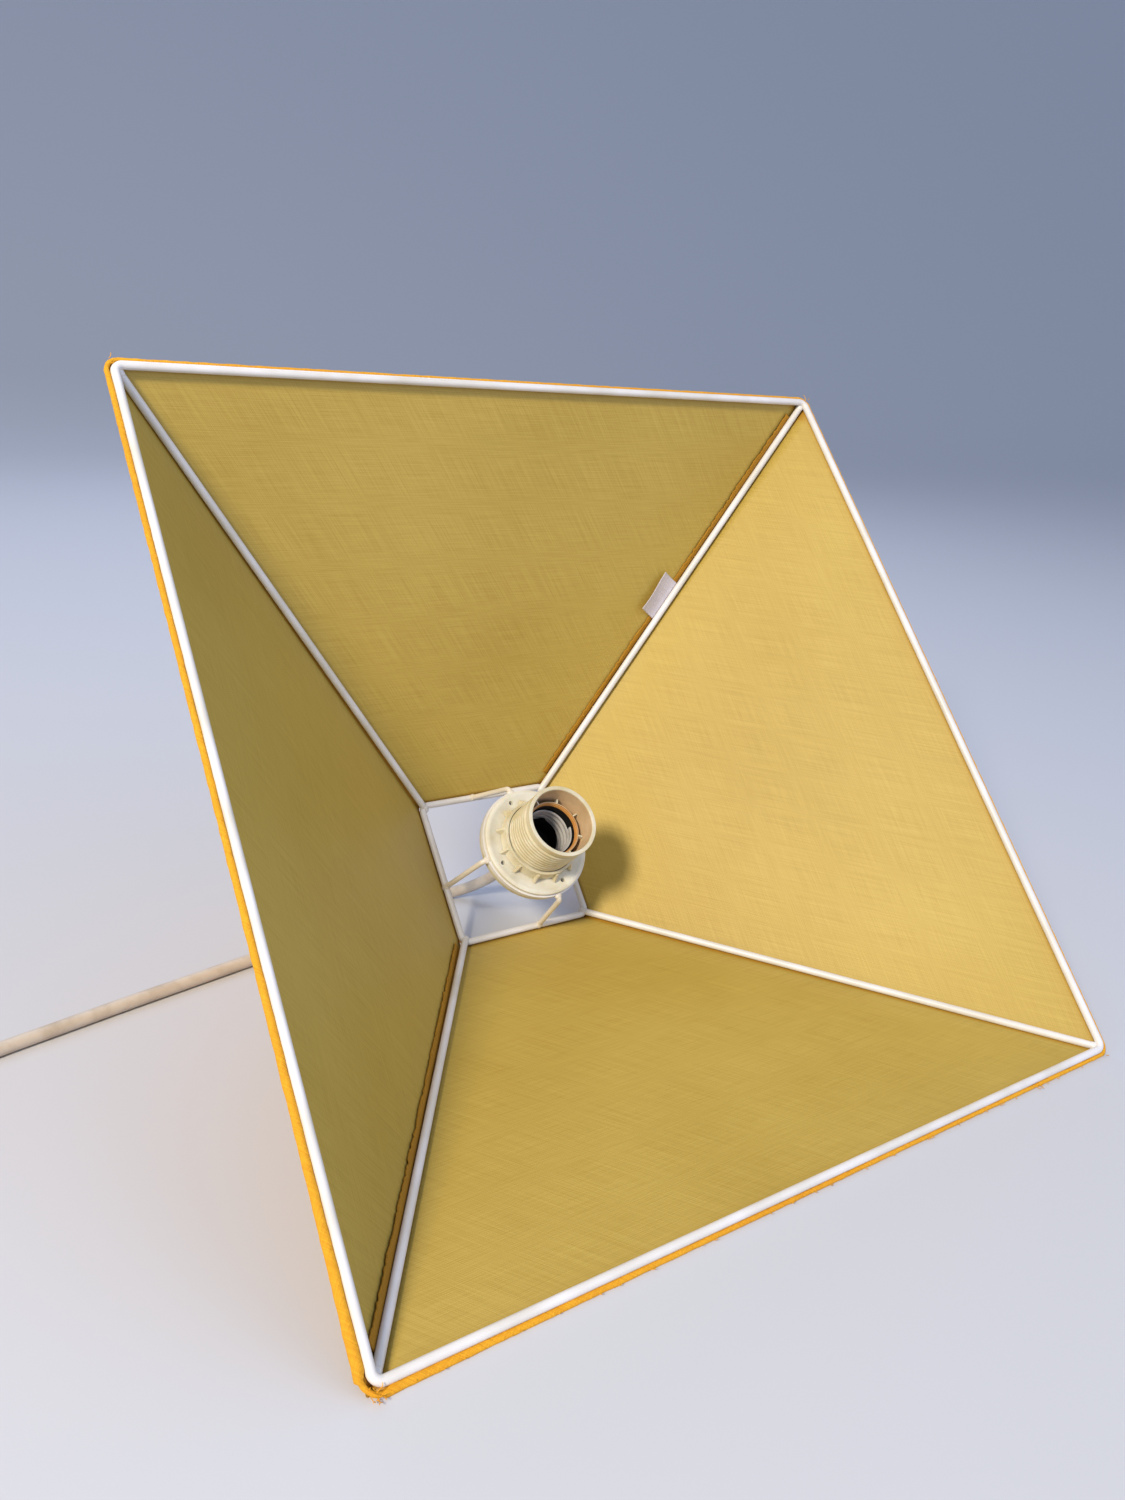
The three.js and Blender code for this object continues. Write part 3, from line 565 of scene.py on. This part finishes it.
# A band of woven tape round the bundle, drawn tight over its outer turns.
def makeTie():
    d = flex["diameter"]
    bm = bmesh.new()
    for radius, layer in ((flex["ring"] + d, 0), (flex["ring"] - d, 0), (flex["ring"] - d / 2, 1)):
        centre = Matrix.Translation((radius, 0, stackHeight(layer) + tie["lift"]))
        place = centre @ Matrix.Rotation(math.pi / 2, 4, "X")
        addRod(bm, d / 2 + tie["slack"], -tie["width"] / 2, tie["width"] / 2, place, 40)
    hull = bmesh.ops.convex_hull(bm, input=bm.verts)
    loose = onlyPoints(hull["geom_interior"] + hull["geom_unused"])
    bmesh.ops.delete(bm, geom=loose, context="VERTS")
    sides = [f for f in bm.faces if abs(f.normal.y) > 0.9]
    bmesh.ops.delete(bm, geom=sides, context="FACES_ONLY")
    bmesh.ops.recalc_face_normals(bm, faces=bm.faces)
    outward = Matrix.Translation((*flex["centre"], 0)) @ Matrix.Rotation(math.radians(tie["angle"]), 4, "Z")
    piece = finishPiece("coilTie", bm, floorPlace @ outward, whiteSatin, ["coil_tie"])
    thicken(piece, tie["thickness"], 1)
    return piece


flexPiece, flexExit, flexEnd = makeFlex()
cores = makeCores(flexEnd)
terminalBlock = makeConnector(flexEnd.x, flexEnd.y - flex["tail"])
tiePiece = makeTie()
print("flex, tie and connector made")


# ---- the wire frame ----
def makeFrame():
    rimHalf, neckHalf, deep = shade["rim"] / 2, shade["neck"] / 2, -shade["height"]
    bm = bmesh.new()
    squareWire(bm, shade["rim"], 0, shade["wire"], shade["bend"], sides=20, runStep=12)
    roughen(bm, 0.05, 18)
    finishPiece("rimWire", bm, shadePlace, whitePowderCoat, ["rim_wire"])
    bm = bmesh.new()
    squareWire(bm, shade["neck"], deep, shade["wire"], shade["bend"], sides=20)
    finishPiece("neckWire", bm, shadePlace, whitePowderCoat, ["neck_wire"])
    inset = shade["bend"] * (1 - math.sqrt(0.5)) + shade["wire"] * 0.3
    corner = Vector((rimHalf, -rimHalf, 0))
    rimEnd = corner.lerp(Vector((neckHalf, -neckHalf, deep)), inset / (rimHalf - neckHalf))
    neckEnd = Vector((neckHalf - 1.5, 1.5 - neckHalf, deep + 0.4))
    welds = bmesh.new()
    for i, where in enumerate(("bottom_right", "top_right", "top_left", "bottom_left")):
        bm = bmesh.new()
        bendWire(bm, [rimEnd, neckEnd], shade["wire"], shade["bend"], sides=20)
        name = "strut" + where.title().replace("_", "")
        place = shadePlace @ quarterTurn(i)
        finishPiece(name, bm, place, whitePowderCoat, ["strut_" + where])
        along = (neckEnd - rimEnd).normalized().to_track_quat("Z", "Y").to_matrix().to_4x4()
        for at, size in ((rimEnd, (2.1, 2.1, 3.0)), (neckEnd, (2.15, 2.15, 3.2))):
            addBead(welds, quarterTurn(i) @ Matrix.Translation(at) @ along, size)
    roughen(welds, 0.25, 1.6)
    finishPiece("cornerWelds", welds, shadePlace, whitePowderCoat)


# The four screw holes that go through the shade ring and the plate behind it.
def screwHoles():
    holes = bmesh.new()
    for i in range(4):
        place = Matrix.Rotation(math.radians(18 + 90 * i), 4, "Z") @ Matrix.Translation((25.6, 0, 0))
        addRod(holes, 1.25, -3, 4, place)
    holes.transform(holderPlace)
    return holes


arm = {"diameter": 3, "offset": 8, "bend": 2.6, "ring": 31.5, "standOff": 2.7}


def makeSpider():
    level = -holder["drop"] - 1.25
    centre = Vector((0, -holder["sag"], level))
    welds = bmesh.new()
    for i, side in enumerate(("bottom", "right", "top", "left")):
        turn = quarterTurn(i).to_3x3()
        foot = turn @ Vector((arm["offset"], -shade["neck"] / 2, -shade["height"] + 0.6))
        out = turn @ Vector((arm["offset"] / 2, -arm["ring"], 0)).normalized()
        knee = centre + out * (arm["ring"] + arm["standOff"])
        tip = centre + out * (arm["ring"] - 2)
        bm = bmesh.new()
        bendWire(bm, [foot, knee, tip], arm["diameter"], arm["bend"])
        finishPiece("arm" + side.capitalize(), bm, shadePlace, creamPowderCoat,
                    ["spider_arm_" + side])
        lean = (knee - foot).normalized().to_track_quat("Z", "Y").to_matrix().to_4x4()
        addBead(welds, Matrix.Translation(foot) @ lean, (2.1, 2.1, 3.4))
        addBead(welds, Matrix.Translation(centre + out * arm["ring"]), (2.2, 2.2, 1.7))
    roughen(welds, 0.3, 1.4)
    finishPiece("armWelds", welds, shadePlace, creamPowderCoat)
    bm = bmesh.new()
    turnOutline(bm, [(20.1, -2.5), (arm["ring"], -2.5), (arm["ring"], 0), (20.1, 0)])
    plate = finishPiece("fitterRing", bm, holderPlace, whitePowderCoat, ["fitter_ring"],
                        edge=0.5)
    cutAway(plate, screwHoles())


makeFrame()
makeSpider()
print("wire frame made")

# ---- the cover ----
cover = {"thickness": 0.9, "off": 3.1, "fold": 3.6, "rimEnd": 1, "neckEnd": 1, "seamGap": 0.35,
         "columns": 48, "rows": 56, "flat": (0.545, 0.373), "area": 0.1122}


# Half the side of the square that a panel's outer face makes, and its level, so far out along the slope.
def coverLevel(out, off):
    half = shade["rim"] / 2 + out * math.cos(slope) + off * math.sin(slope)
    return half, out * math.sin(slope) - off * math.cos(slope)


def coverPoint(u, v, off):
    out = cover["rimEnd"] + v * (-slant - cover["neckEnd"] - cover["rimEnd"])
    half, level = coverLevel(out, off)
    radius = cover["fold"]
    arc = radius * math.pi / 4
    reach = half * 2 - radius + arc - cover["seamGap"]
    distance = reach * abs(u) ** 1.45
    if distance < arc:
        angle = -math.pi / 4 - distance / radius
        x, y = half - radius + radius * math.cos(angle), -half + radius + radius * math.sin(angle)
    else:
        x, y = half - radius - (distance - arc), -half
    if u > 0:
        x, y = -y, -x
    edge = min(distance, reach - distance, cover["rimEnd"] - out, out + slant + cover["neckEnd"])
    return Vector((x, y, level)), distance * (1 if u > 0 else -1), out, edge


def makeCovers():
    outOf = Vector((0, -math.sin(slope), -math.cos(slope)))
    for name, turns, nodes in (("coverLower", 0, ["panel_bottom", "panel_right"]),
                               ("coverUpper", 2, ["panel_top", "panel_left"])):
        bm = bmesh.new()
        bmesh.ops.create_grid(bm, x_segments=cover["columns"] * 2, y_segments=cover["rows"], size=1)
        uv = bm.loops.layers.uv.new("cloth")
        edgeLayer = bm.verts.layers.float.new("edge")
        places = {}
        for v in bm.verts:
            point, along, out, edge = coverPoint(v.co.x, (v.co.y + 1) / 2, cover["off"])
            v[edgeLayer] = edge
            face = outOf if v.co.x < 0 else Vector((-outOf.y, 0, outOf.z))
            inside = min(1, abs(along) / 40) * (1 - abs(v.co.y) ** 6) * min(1, (1 - abs(v.co.x)) * 12)
            wave = noise.noise(Vector((point.x / 90, point.y / 90, out / 70 + turns * 3)))
            fine = noise.noise(Vector((point.x / 16, point.y / 16, out / 30 + turns)))
            v.co = point + face * (0.9 * wave + 0.12 * fine) * inside
            places[v] = (along, out)
        for f in bm.faces:
            for loop in f.loops:
                loop[uv].uv = places[loop.vert]
        bm.normal_update()
        bm.faces.ensure_lookup_table()
        if bm.faces[0].normal.dot(outOf) < 0:
            bmesh.ops.reverse_faces(bm, faces=bm.faces)
        piece = finishPiece(name, bm, shadePlace @ quarterTurn(turns), [goldenCloth, yellowLaminate],
                            nodes, crease=80, outward=False)
        wall = thicken(piece, cover["thickness"], -1)
        wall.material_offset = 1  # the inside shows the yellow laminate
        wall.material_offset_rim = 1


# A turned edge of cloth along a square, just outside its wire. It is fuller where it has come loose.
turned = {"rim": 1.9, "neck": 1.7, "off": 2.3, "bend": 5.5, "corner": 0.95, "reach": 95, "left": 0.3}


def fullness(x, y, half):
    fromCorner = math.hypot(x + half, y + half)
    leftShare = min(1, max(0, (-x - half + 8) / 8))
    return turned["corner"] * math.exp(-fromCorner / turned["reach"]) + turned["left"] * leftShare


def makeTurnedEdge(name, level, wireSide, diameter, loose, rough, nodes):
    off = turned["off"]
    past = math.sqrt((shade["wire"] / 2 + diameter / 2) ** 2 - off ** 2) * (1 if level == 0 else -1)
    half = wireSide / 2 + past * math.cos(slope) + off * math.sin(slope)
    height = level + past * math.sin(slope) - off * math.cos(slope)
    bm = bmesh.new()
    squareWire(bm, half * 2, height, diameter, turned["bend"], sides=14, runStep=2.4, bendSteps=10)
    for v in bm.verts:
        x, y = v.co.x, v.co.y
        swell = 1 + fullness(x, y, half) * loose
        sideways = abs(x) > abs(y)
        outward = Vector((math.copysign(1, x), 0, 0)) if sideways else Vector((0, math.copysign(1, y), 0))
        centre = outward * half + (Vector((0, y, height)) if sideways else Vector((x, 0, height)))
        if abs(abs(x) - abs(y)) > turned["bend"]:
            v.co = centre + (v.co - centre) * swell
        v.co += outward * (swell - 1) * diameter / 2 * 0.8
    roughen(bm, rough, 4)
    roughen(bm, rough * 0.6, 1.3)
    uv = bm.loops.layers.uv.new("cloth")
    for f in bm.faces:
        for loop in f.loops:
            at = loop.vert.co
            loop[uv].uv = (at.x + at.y, at.z * 2 + at.x - at.y)
    finishPiece(name, bm, shadePlace, goldenEdge, nodes, crease=80)


def makeTrims():
    sides = ("bottom", "right", "top", "left")
    makeTurnedEdge("rimHem", 0, shade["rim"], turned["rim"], 1, 0.22, ["rim_hem_" + s for s in sides])
    makeTurnedEdge("neckBinding", -shade["height"], shade["neck"], turned["neck"], 0, 0.12,
                   ["neck_binding_" + s for s in sides])


makeCovers()
makeTrims()
print("cover made")


# ---- seams and label, beside the struts on the inside ----
def strutPlace(onTop):
    out, back = math.sin(slope), -math.cos(slope)
    outward = Vector((0, out, back)) if onTop else Vector((out, 0, back))
    run = (shade["rim"] - shade["neck"]) / 2
    along = Vector((-run, -run, -shade["height"])).normalized()
    across = outward.cross(along)
    if across.x + across.y > 0:
        across = -across
    turn = Matrix((along, across, outward)).transposed().to_4x4()
    corner = Vector((shade["rim"] / 2, shade["rim"] / 2, 0))
    return Matrix.Translation(corner) @ turn


seam = {"width": 4.6, "near": 1.2, "thickness": 0.5, "from": 12, "to": 274, "off": 1.75}


def makeSeams():
    for name, node, onTop, turns in (("seamTopRight", "seam_top_right", True, 0),
                                     ("seamBottomLeft", "seam_bottom_left", False, 2)):
        bm = bmesh.new()
        bmesh.ops.create_grid(bm, x_segments=320, y_segments=5, size=1)
        for v in bm.verts:
            share = (v.co.x + 1) / 2
            side = (v.co.y + 1) / 2
            along = seam["from"] + (seam["to"] - seam["from"]) * share
            ragged = noise.noise(Vector((along / 2.2, turns, 0))) * 0.9
            ragged += noise.noise(Vector((along / 14, 3, turns))) * 0.8
            width = seam["width"] * (0.8 if onTop else 1.0) + ragged
            wave = noise.noise(Vector((along / 5, side * 2, turns + 7)))
            v.co = Vector((along, seam["near"] + width * side, seam["off"] - 0.5 * side * (1 + wave)))
        layFlat(bm)
        place = shadePlace @ quarterTurn(turns) @ strutPlace(onTop)
        piece = finishPiece(name, bm, place, shadedSeamCloth, [node], crease=80)
        thicken(piece, seam["thickness"], 0)


label = {"length": 26, "width": 15, "thickness": 0.22, "along": 0.52}


def makeLabel():
    strut = math.hypot(slant, (shade["rim"] - shade["neck"]) / 2)
    bm = bmesh.new()
    bmesh.ops.create_grid(bm, x_segments=26, y_segments=18, size=1)
    for v in bm.verts:
        side = (v.co.y + 1) / 2
        along = label["length"] / 2 * v.co.x
        curl = 3.2 * side ** 2 + 0.8 * side * math.sin(v.co.x * 2.2 + 0.6)
        v.co = Vector((strut * label["along"] + along, 1.5 + label["width"] * side * 0.97, 0.9 - curl))
    layFlat(bm)
    piece = finishPiece("fabricLabel", bm, shadePlace @ strutPlace(True), whiteSatin,
                        ["fabric_label"], crease=80)
    thicken(piece, label["thickness"], 0)


# From the shade's frame to millimetres above the floor, where a thread can lie but not go through.
def threadPoint(point):
    x, y, z = shadePlace @ point / mm
    return Vector((x, y, max(z, 0.3)))


# Thread ends that have worked loose: at the bottom left corner, and here and there along the rim.
def makeThreads():
    half, level = shade["rim"] / 2 + 3, 0.4
    tufts = [((-half + 3, -half - 0.2, level), 12, 4), ((-half + 1.5, half - 1, level), 4, 2.5),
             ((half - 1, half - 1, level), 4, 2.5), ((half - 60, -half, level), 4, 3)]
    routes = []
    for spot, count, reach in tufts:
        for _ in range(count):
            start = Vector(spot) + Vector([random.uniform(-1.6, 1.6) for _ in range(3)])
            inward = random.uniform(-0.2, 1) * -math.copysign(0.5, spot[0])
            aim = Vector((inward, random.uniform(-0.6, 0.6), random.uniform(0.1, 1))).normalized()
            points = [start]
            for _ in range(4):
                aim = (aim + Vector([random.uniform(-0.5, 0.5) for _ in range(3)])).normalized()
                points.append(points[-1] + aim * reach * random.uniform(0.12, 0.3))
            routes.append([threadPoint(p) for p in points])
    alongRim = 26
    for i in range(alongRim):
        share = (i + random.random()) / alongRim
        start = Vector((-half + 2 * half * share, -half - 0.8, level + 1))
        end = start + Vector((random.uniform(-2, 2), random.uniform(-0.4, 0.5), random.uniform(0.3, 1.6)))
        middle = start.lerp(end, 0.5) + Vector((0.3, -0.2, 0.2))
        routes.append([threadPoint(p) for p in (start, middle, end)])
    data = smoothCurve("looseThreads", routes, 0.3, steps=3, sides=1)
    showPiece("looseThreads", data, goldenEdge)


makeSeams()
makeLabel()
makeThreads()
print("seams, label and threads made")

# ---- the lampholder: zero at the fitter ring's front face, +Z out of its mouth ----
skirt = {"bore": 17.6, "tail": 18.3, "back": -11, "flange": -6.3, "lip": 4, "root": 0.95}


def makeSkirt():
    crest = holder["thread"] / 2
    front = holder["front"]
    neck = front - skirt["lip"]
    root = crest - skirt["root"]
    bm = bmesh.new()
    turnOutline(bm, [
        (skirt["bore"], skirt["back"]), (skirt["tail"], skirt["back"]), (skirt["tail"], skirt["flange"]),
        (root, skirt["flange"]), (root, neck), (crest + 0.05, neck + 0.4), (crest + 0.05, front),
        (skirt["bore"] + 0.3, front), (skirt["bore"], front - 0.6),
    ], steps=120)
    thread = bmesh.new()
    turns = int((neck - skirt["flange"] - 3) / holder["pitch"])
    base = neck - turns * holder["pitch"] - 1.9
    profile = [(root - 0.4, -1.05), (root, -1.05), (crest - 0.3, -0.85), (crest, -0.5), (crest, 0.5),
               (crest - 0.3, 0.85), (root, 1.05), (root - 0.4, 1.05)]
    points = [thread.verts.new((r, 0, base + z)) for r, z in profile]
    edges = [thread.edges.new(pair) for pair in zip(points, points[1:] + points[:1])]
    perTurn = 64
    bmesh.ops.spin(thread, geom=points + edges, cent=(0, 0, 0), axis=(0, 0, 1),
                   dvec=(0, 0, holder["pitch"] / perTurn), angle=2 * math.pi * turns, steps=perTurn * turns)
    bmesh.ops.holes_fill(thread, edges=[e for e in thread.edges if e.is_boundary], sides=0)
    finishPiece("skirtThread", thread, holderPlace, creamPlastic, crease=50)
    for f in bm.faces:
        middle = f.calc_center_median()
        if math.hypot(middle.x, middle.y) < skirt["bore"] + 0.1:
            f.material_index = 1
    finishPiece("threadedSkirt", bm, holderPlace, [creamPlastic, tanPlastic],
                ["holder_skirt"], edge=0.3)


def makeRings():
    bm = bmesh.new()
    turnOutline(bm, [
        (nut["bore"], -6.3), (30.6, -6.3), (31, -5.2), (31, -2.8), (26.5, -2.8), (26.2, -3.1),
        (nut["bore"], -3.1),
    ])
    finishPiece("rearFlange", bm, holderPlace, creamPlastic, ["rear_flange"], edge=0.35)
    bm = bmesh.new()
    turnOutline(bm, [
        (nut["bore"], 0.3), (30.5, 0.3), (30.5, 1.9), (29.6, 2.5), (27.9, 2.5), (27.6, 2.3),
        (nut["bore"], 2.3),
    ])
    disc = finishPiece("shadeRingDisc", bm, holderPlace, palePlastic, ["shade_ring"],
                       "shade_ring", 0.2)
    cutAway(disc, screwHoles())


nut = {"bore": 20.1, "collar": 21.6, "low": 2.8, "high": 9.3, "lugs": 12, "first": 6, "tip": 25, "fin": 1.5}


def makeNut():
    low, height = nut["low"], nut["high"] - nut["low"]
    bm = bmesh.new()
    turnOutline(bm, [
        (nut["bore"], low), (nut["collar"] + 0.5, low), (nut["collar"] + 0.2, low + 1),
        (nut["collar"], nut["high"]), (nut["bore"], nut["high"]),
    ])
    for i in range(nut["lugs"]):  # each lug is a gusset, widest at the disc and with one steep side
        place = Matrix.Rotation(math.radians(nut["first"] + 360 / nut["lugs"] * i), 4, "Z")
        length = nut["tip"] - nut["collar"] + 1
        middle = Matrix.Translation((nut["tip"] - length / 2, 0, low + 2.6))
        gusset = addBox(bm, (length, nut["fin"], 5.2), place @ middle)
        inverse = place.inverted()
        for v in gusset:
            at = inverse @ v.co
            if at.x > nut["collar"]:
                at.x -= 2.5 if at.z > low + height / 2 else 0
                at.y -= 0.25 if at.y > 0 else 0
            elif at.y > 0:
                at.y += 1.1
            v.co = place @ at
    finishPiece("ringNut", bm, holderPlace, creamPlastic, ["ring_nut"], "ring_nut", 0.25)


sleeve = {"radius": 15.2, "inside": 13.9, "front": 23.5, "floor": -6, "back": -8.5, "reach": 17.35, "ribs": 8,
          "firstRib": 17.5, "rib": 0.8}


def makeSleeve():
    front = sleeve["front"]
    bm = bmesh.new()
    turnOutline(bm, [
        (sleeve["radius"], sleeve["floor"]), (sleeve["radius"], front - 0.2), (sleeve["radius"] - 0.3, front),
        (14.4, front), (14.4, front - 0.9), (14.1, front - 1.1), (14.1, front - 2.4),
        (sleeve["inside"], front - 2.8),
        (sleeve["inside"], sleeve["floor"]), (1.8, sleeve["floor"]), (1.8, sleeve["back"]),
        (sleeve["reach"], sleeve["back"]), (sleeve["reach"], sleeve["floor"]),
    ])
    for f in bm.faces:
        middle = f.calc_center_median()
        radius = math.hypot(middle.x, middle.y)
        # painted shade: the sleeve's inside deeper than 6 mm below its front is drawn near-black
        if radius < sleeve["inside"] + 0.1 and middle.z < front - 6:
            f.material_index = 2
        elif radius < 14.45 and middle.z < front - 0.2:
            f.material_index = 1
    # painted light: the ribs are drawn in the lighter cream plastic, not the sleeve's tan, so that they look
    # lit
    for i in range(sleeve["ribs"]):
        place = Matrix.Rotation(math.radians(sleeve["firstRib"] + 360 / sleeve["ribs"] * i), 4, "Z")
        width = sleeve["reach"] - sleeve["radius"] + 0.4
        height = front - sleeve["floor"] + 0.5
        at = Matrix.Translation((sleeve["reach"] - width / 2, 0, sleeve["floor"] + height / 2))
        rib = addBox(bm, (width, sleeve["rib"], height), place @ at)
        for f in {f for v in rib for f in v.link_faces}:
            f.material_index = 3
    finishPiece("ribbedSleeve", bm, holderPlace, [tanPlastic, toastedPlastic, darkResinAndShade, creamPlastic],
                ["socket_insert"], edge=0.12)


# The shell that takes the bulb's thread: a wavy outline swept round by one pitch, so it closes as a helix.
shell = {"outer": 13.5, "wave": 0.7, "pitch": 3.63, "low": -5.6, "waves": 5.8, "samples": 10, "perTurn": 72,
         "thickness": 0.3, "shadeCupRadius": 12.1, "shadeCupTop": 4.5}


def makeShell():
    bm = bmesh.new()
    count = round(shell["waves"] * shell["samples"]) + 1
    points = []
    for i in range(count):
        turn = 2 * math.pi * i / shell["samples"]
        radius = shell["outer"] - shell["wave"] / 2 + shell["wave"] / 2 * math.cos(turn)
        points.append(bm.verts.new((radius, 0, shell["low"] + shell["pitch"] * i / shell["samples"])))
    edges = [bm.edges.new(pair) for pair in zip(points, points[1:])]
    bmesh.ops.spin(bm, geom=points + edges, cent=(0, 0, 0), axis=(0, 0, 1),
                   dvec=(0, 0, shell["pitch"] / shell["perTurn"]), angle=2 * math.pi, steps=shell["perTurn"])
    bmesh.ops.remove_doubles(bm, verts=bm.verts, dist=0.02)
    piece = finishPiece("screwShell", bm, holderPlace, tarnishedShell, ["screw_shell"],
                        crease=60)
    thicken(piece, shell["thickness"], -1)
    bm = bmesh.new()  # painted shade: a black cup inside it, with an uneven front edge, that darkens the deep inside of the socket
    turnOutline(bm, [
        (12.3, -5.8), (12.3, shell["shadeCupTop"]), (shell["shadeCupRadius"], shell["shadeCupTop"]), (shell["shadeCupRadius"], -5),
        (7, -5), (7, -5.8),
    ], steps=72)
    for v in bm.verts:
        if v.co.z > shell["shadeCupTop"] - 0.1:
            turn = math.atan2(v.co.y, v.co.x)
            notch = math.exp(-((turn - 1.1) / 0.16) ** 2) - 0.9 * math.exp(-((turn + 0.5) / 0.5) ** 2)
            v.co.z += 2.6 * notch + 1.2 * math.sin(2 * turn)
    finishPiece("socketShadeCup", bm, holderPlace, darkResinAndShade)


def makeContact():
    bm = bmesh.new()
    addRod(bm, 1.5, -8.6, -2.8, sides=20)
    strip = addBox(bm, (12, 6, 0.8), Matrix.Translation((0, 0, -3)))
    spring = [f for f in bm.faces if all(v in strip for v in f.verts)]
    long = {e for f in spring for e in f.edges if abs(e.verts[0].co.x - e.verts[1].co.x) > 6}
    bmesh.ops.subdivide_edges(bm, edges=list(long), cuts=10, use_grid_fill=True)
    for v in bm.verts:
        if v.co.z > -3.6 and abs(v.co.y) > 1.6 or abs(v.co.x) > 1.6:
            v.co.z -= 0.9 * (abs(v.co.x) / 6) ** 2
            v.co.y *= 1 - 0.35 * (abs(v.co.x) / 6) ** 2
    finishPiece("contactTongue", bm, holderPlace, dimSteel, ["centre_contact"],
                "centre_contact", 0.15)


cap = {"outside": 20.6, "front": -6.6, "shoulder": -20.6, "boss": 8.5, "bossFront": -25.1, "bossBack": -28.6,
       "inside": 18.6, "hole": 3.55, "grips": 36}


def makeCap():
    bm = bmesh.new()
    curve = []
    for i in range(7):
        turn = math.pi / 2 * i / 6
        curve.append((cap["boss"] + 1.2 + (cap["outside"] - cap["boss"] - 1.2) * math.cos(turn),
                      cap["shoulder"] - (cap["shoulder"] - cap["bossFront"]) * math.sin(turn)))
    turnOutline(bm, [
        (cap["inside"], cap["front"]), (cap["outside"], cap["front"]), *curve,
        (cap["boss"], cap["bossFront"] - 0.4), (cap["boss"], cap["bossBack"] + 0.4),
        (cap["boss"] - 0.4, cap["bossBack"]), (cap["hole"], cap["bossBack"]),
        (cap["hole"], -23.2), (6.6, -23.2), (cap["inside"], -19.65),
    ], steps=108)
    for i in range(cap["grips"]):
        place = Matrix.Rotation(2 * math.pi * i / cap["grips"], 4, "Z")
        at = Matrix.Translation((cap["outside"] - 0.05, 0, (cap["front"] - 1 + cap["shoulder"] + 1) / 2))
        addBox(bm, (0.9, 1.1, cap["front"] - cap["shoulder"] - 2.4), place @ at)
    piece = finishPiece("rearCap", bm, holderPlace, creamPlastic, ["holder_cap"], edge=0.25)
    middle = (cap["bossFront"] + cap["bossBack"]) / 2
    sideways = Matrix.Translation((0, 0, middle)) @ Matrix.Rotation(-math.pi / 2, 4, "X")
    hole = bmesh.new()
    addRod(hole, 1.8, 1.6, 12, sideways)
    hole.transform(holderPlace)
    cutAway(piece, hole)
    bm = bmesh.new()
    addRod(bm, 1.5, 3.85, 8.6, sideways)
    screw = finishPiece("gripScrew", bm, holderPlace, palePlastic, ["grip_screw"], edge=0.2)
    slot = bmesh.new()
    addBox(slot, (4, 0.5, 1), sideways @ Matrix.Translation((0, 0, 8.5)))
    slot.transform(holderPlace)
    cutAway(screw, slot)


relief = {"front": -28.9, "back": -49.9, "wide": 6.5, "narrow": 4.3, "bore": 3.3, "grooves": 5}


def makeRelief():
    outline = [(relief["wide"], relief["front"]), (relief["wide"], relief["front"] - 3)]
    start = relief["front"] - 4
    step = (start - relief["back"] - 2) / relief["grooves"]
    for i in range(relief["grooves"]):
        share = (i + 0.5) / relief["grooves"]
        radius = relief["wide"] - 0.5 + (relief["narrow"] - relief["wide"] + 0.5) * share
        high = start - i * step
        outline += [(radius - 0.9, high), (radius - 0.9, high - step * 0.35), (radius, high - step * 0.42),
                    (radius - 0.1, high - step * 0.95)]
    outline += [(relief["narrow"] - 0.3, relief["back"]), (relief["bore"], relief["back"]),
                (relief["bore"], relief["front"])]
    bm = bmesh.new()
    turnOutline(bm, outline, steps=64)
    finishPiece("strainRelief", bm, holderPlace, flexVinyl, ["strain_relief"], edge=0.2)
    bm = bmesh.new()
    addRod(bm, flex["diameter"] / 2, relief["back"] - 1, relief["front"] + 1, sides=32)
    finishPiece("flexInRelief", bm, holderPlace, flexVinyl)


makeSkirt()
makeRings()
makeNut()
makeSleeve()
makeShell()
makeContact()
makeCap()
makeRelief()
print("lampholder made")

# CAD nodes that stay as they are get their finish here.
kept = {
    "contact_base": darkResinAndShade, "terminal_live": brass, "terminal_neutral": brass,
    "terminal_screw_live": nickelSteel, "terminal_screw_neutral": nickelSteel, "inner_wire_live": brownVinyl,
    "inner_wire_neutral": blueVinyl, "inner_sheath_end": flexVinyl,
}
for name, material in kept.items():
    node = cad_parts[name]
    node.data.materials.clear()
    node.data.materials.append(material)
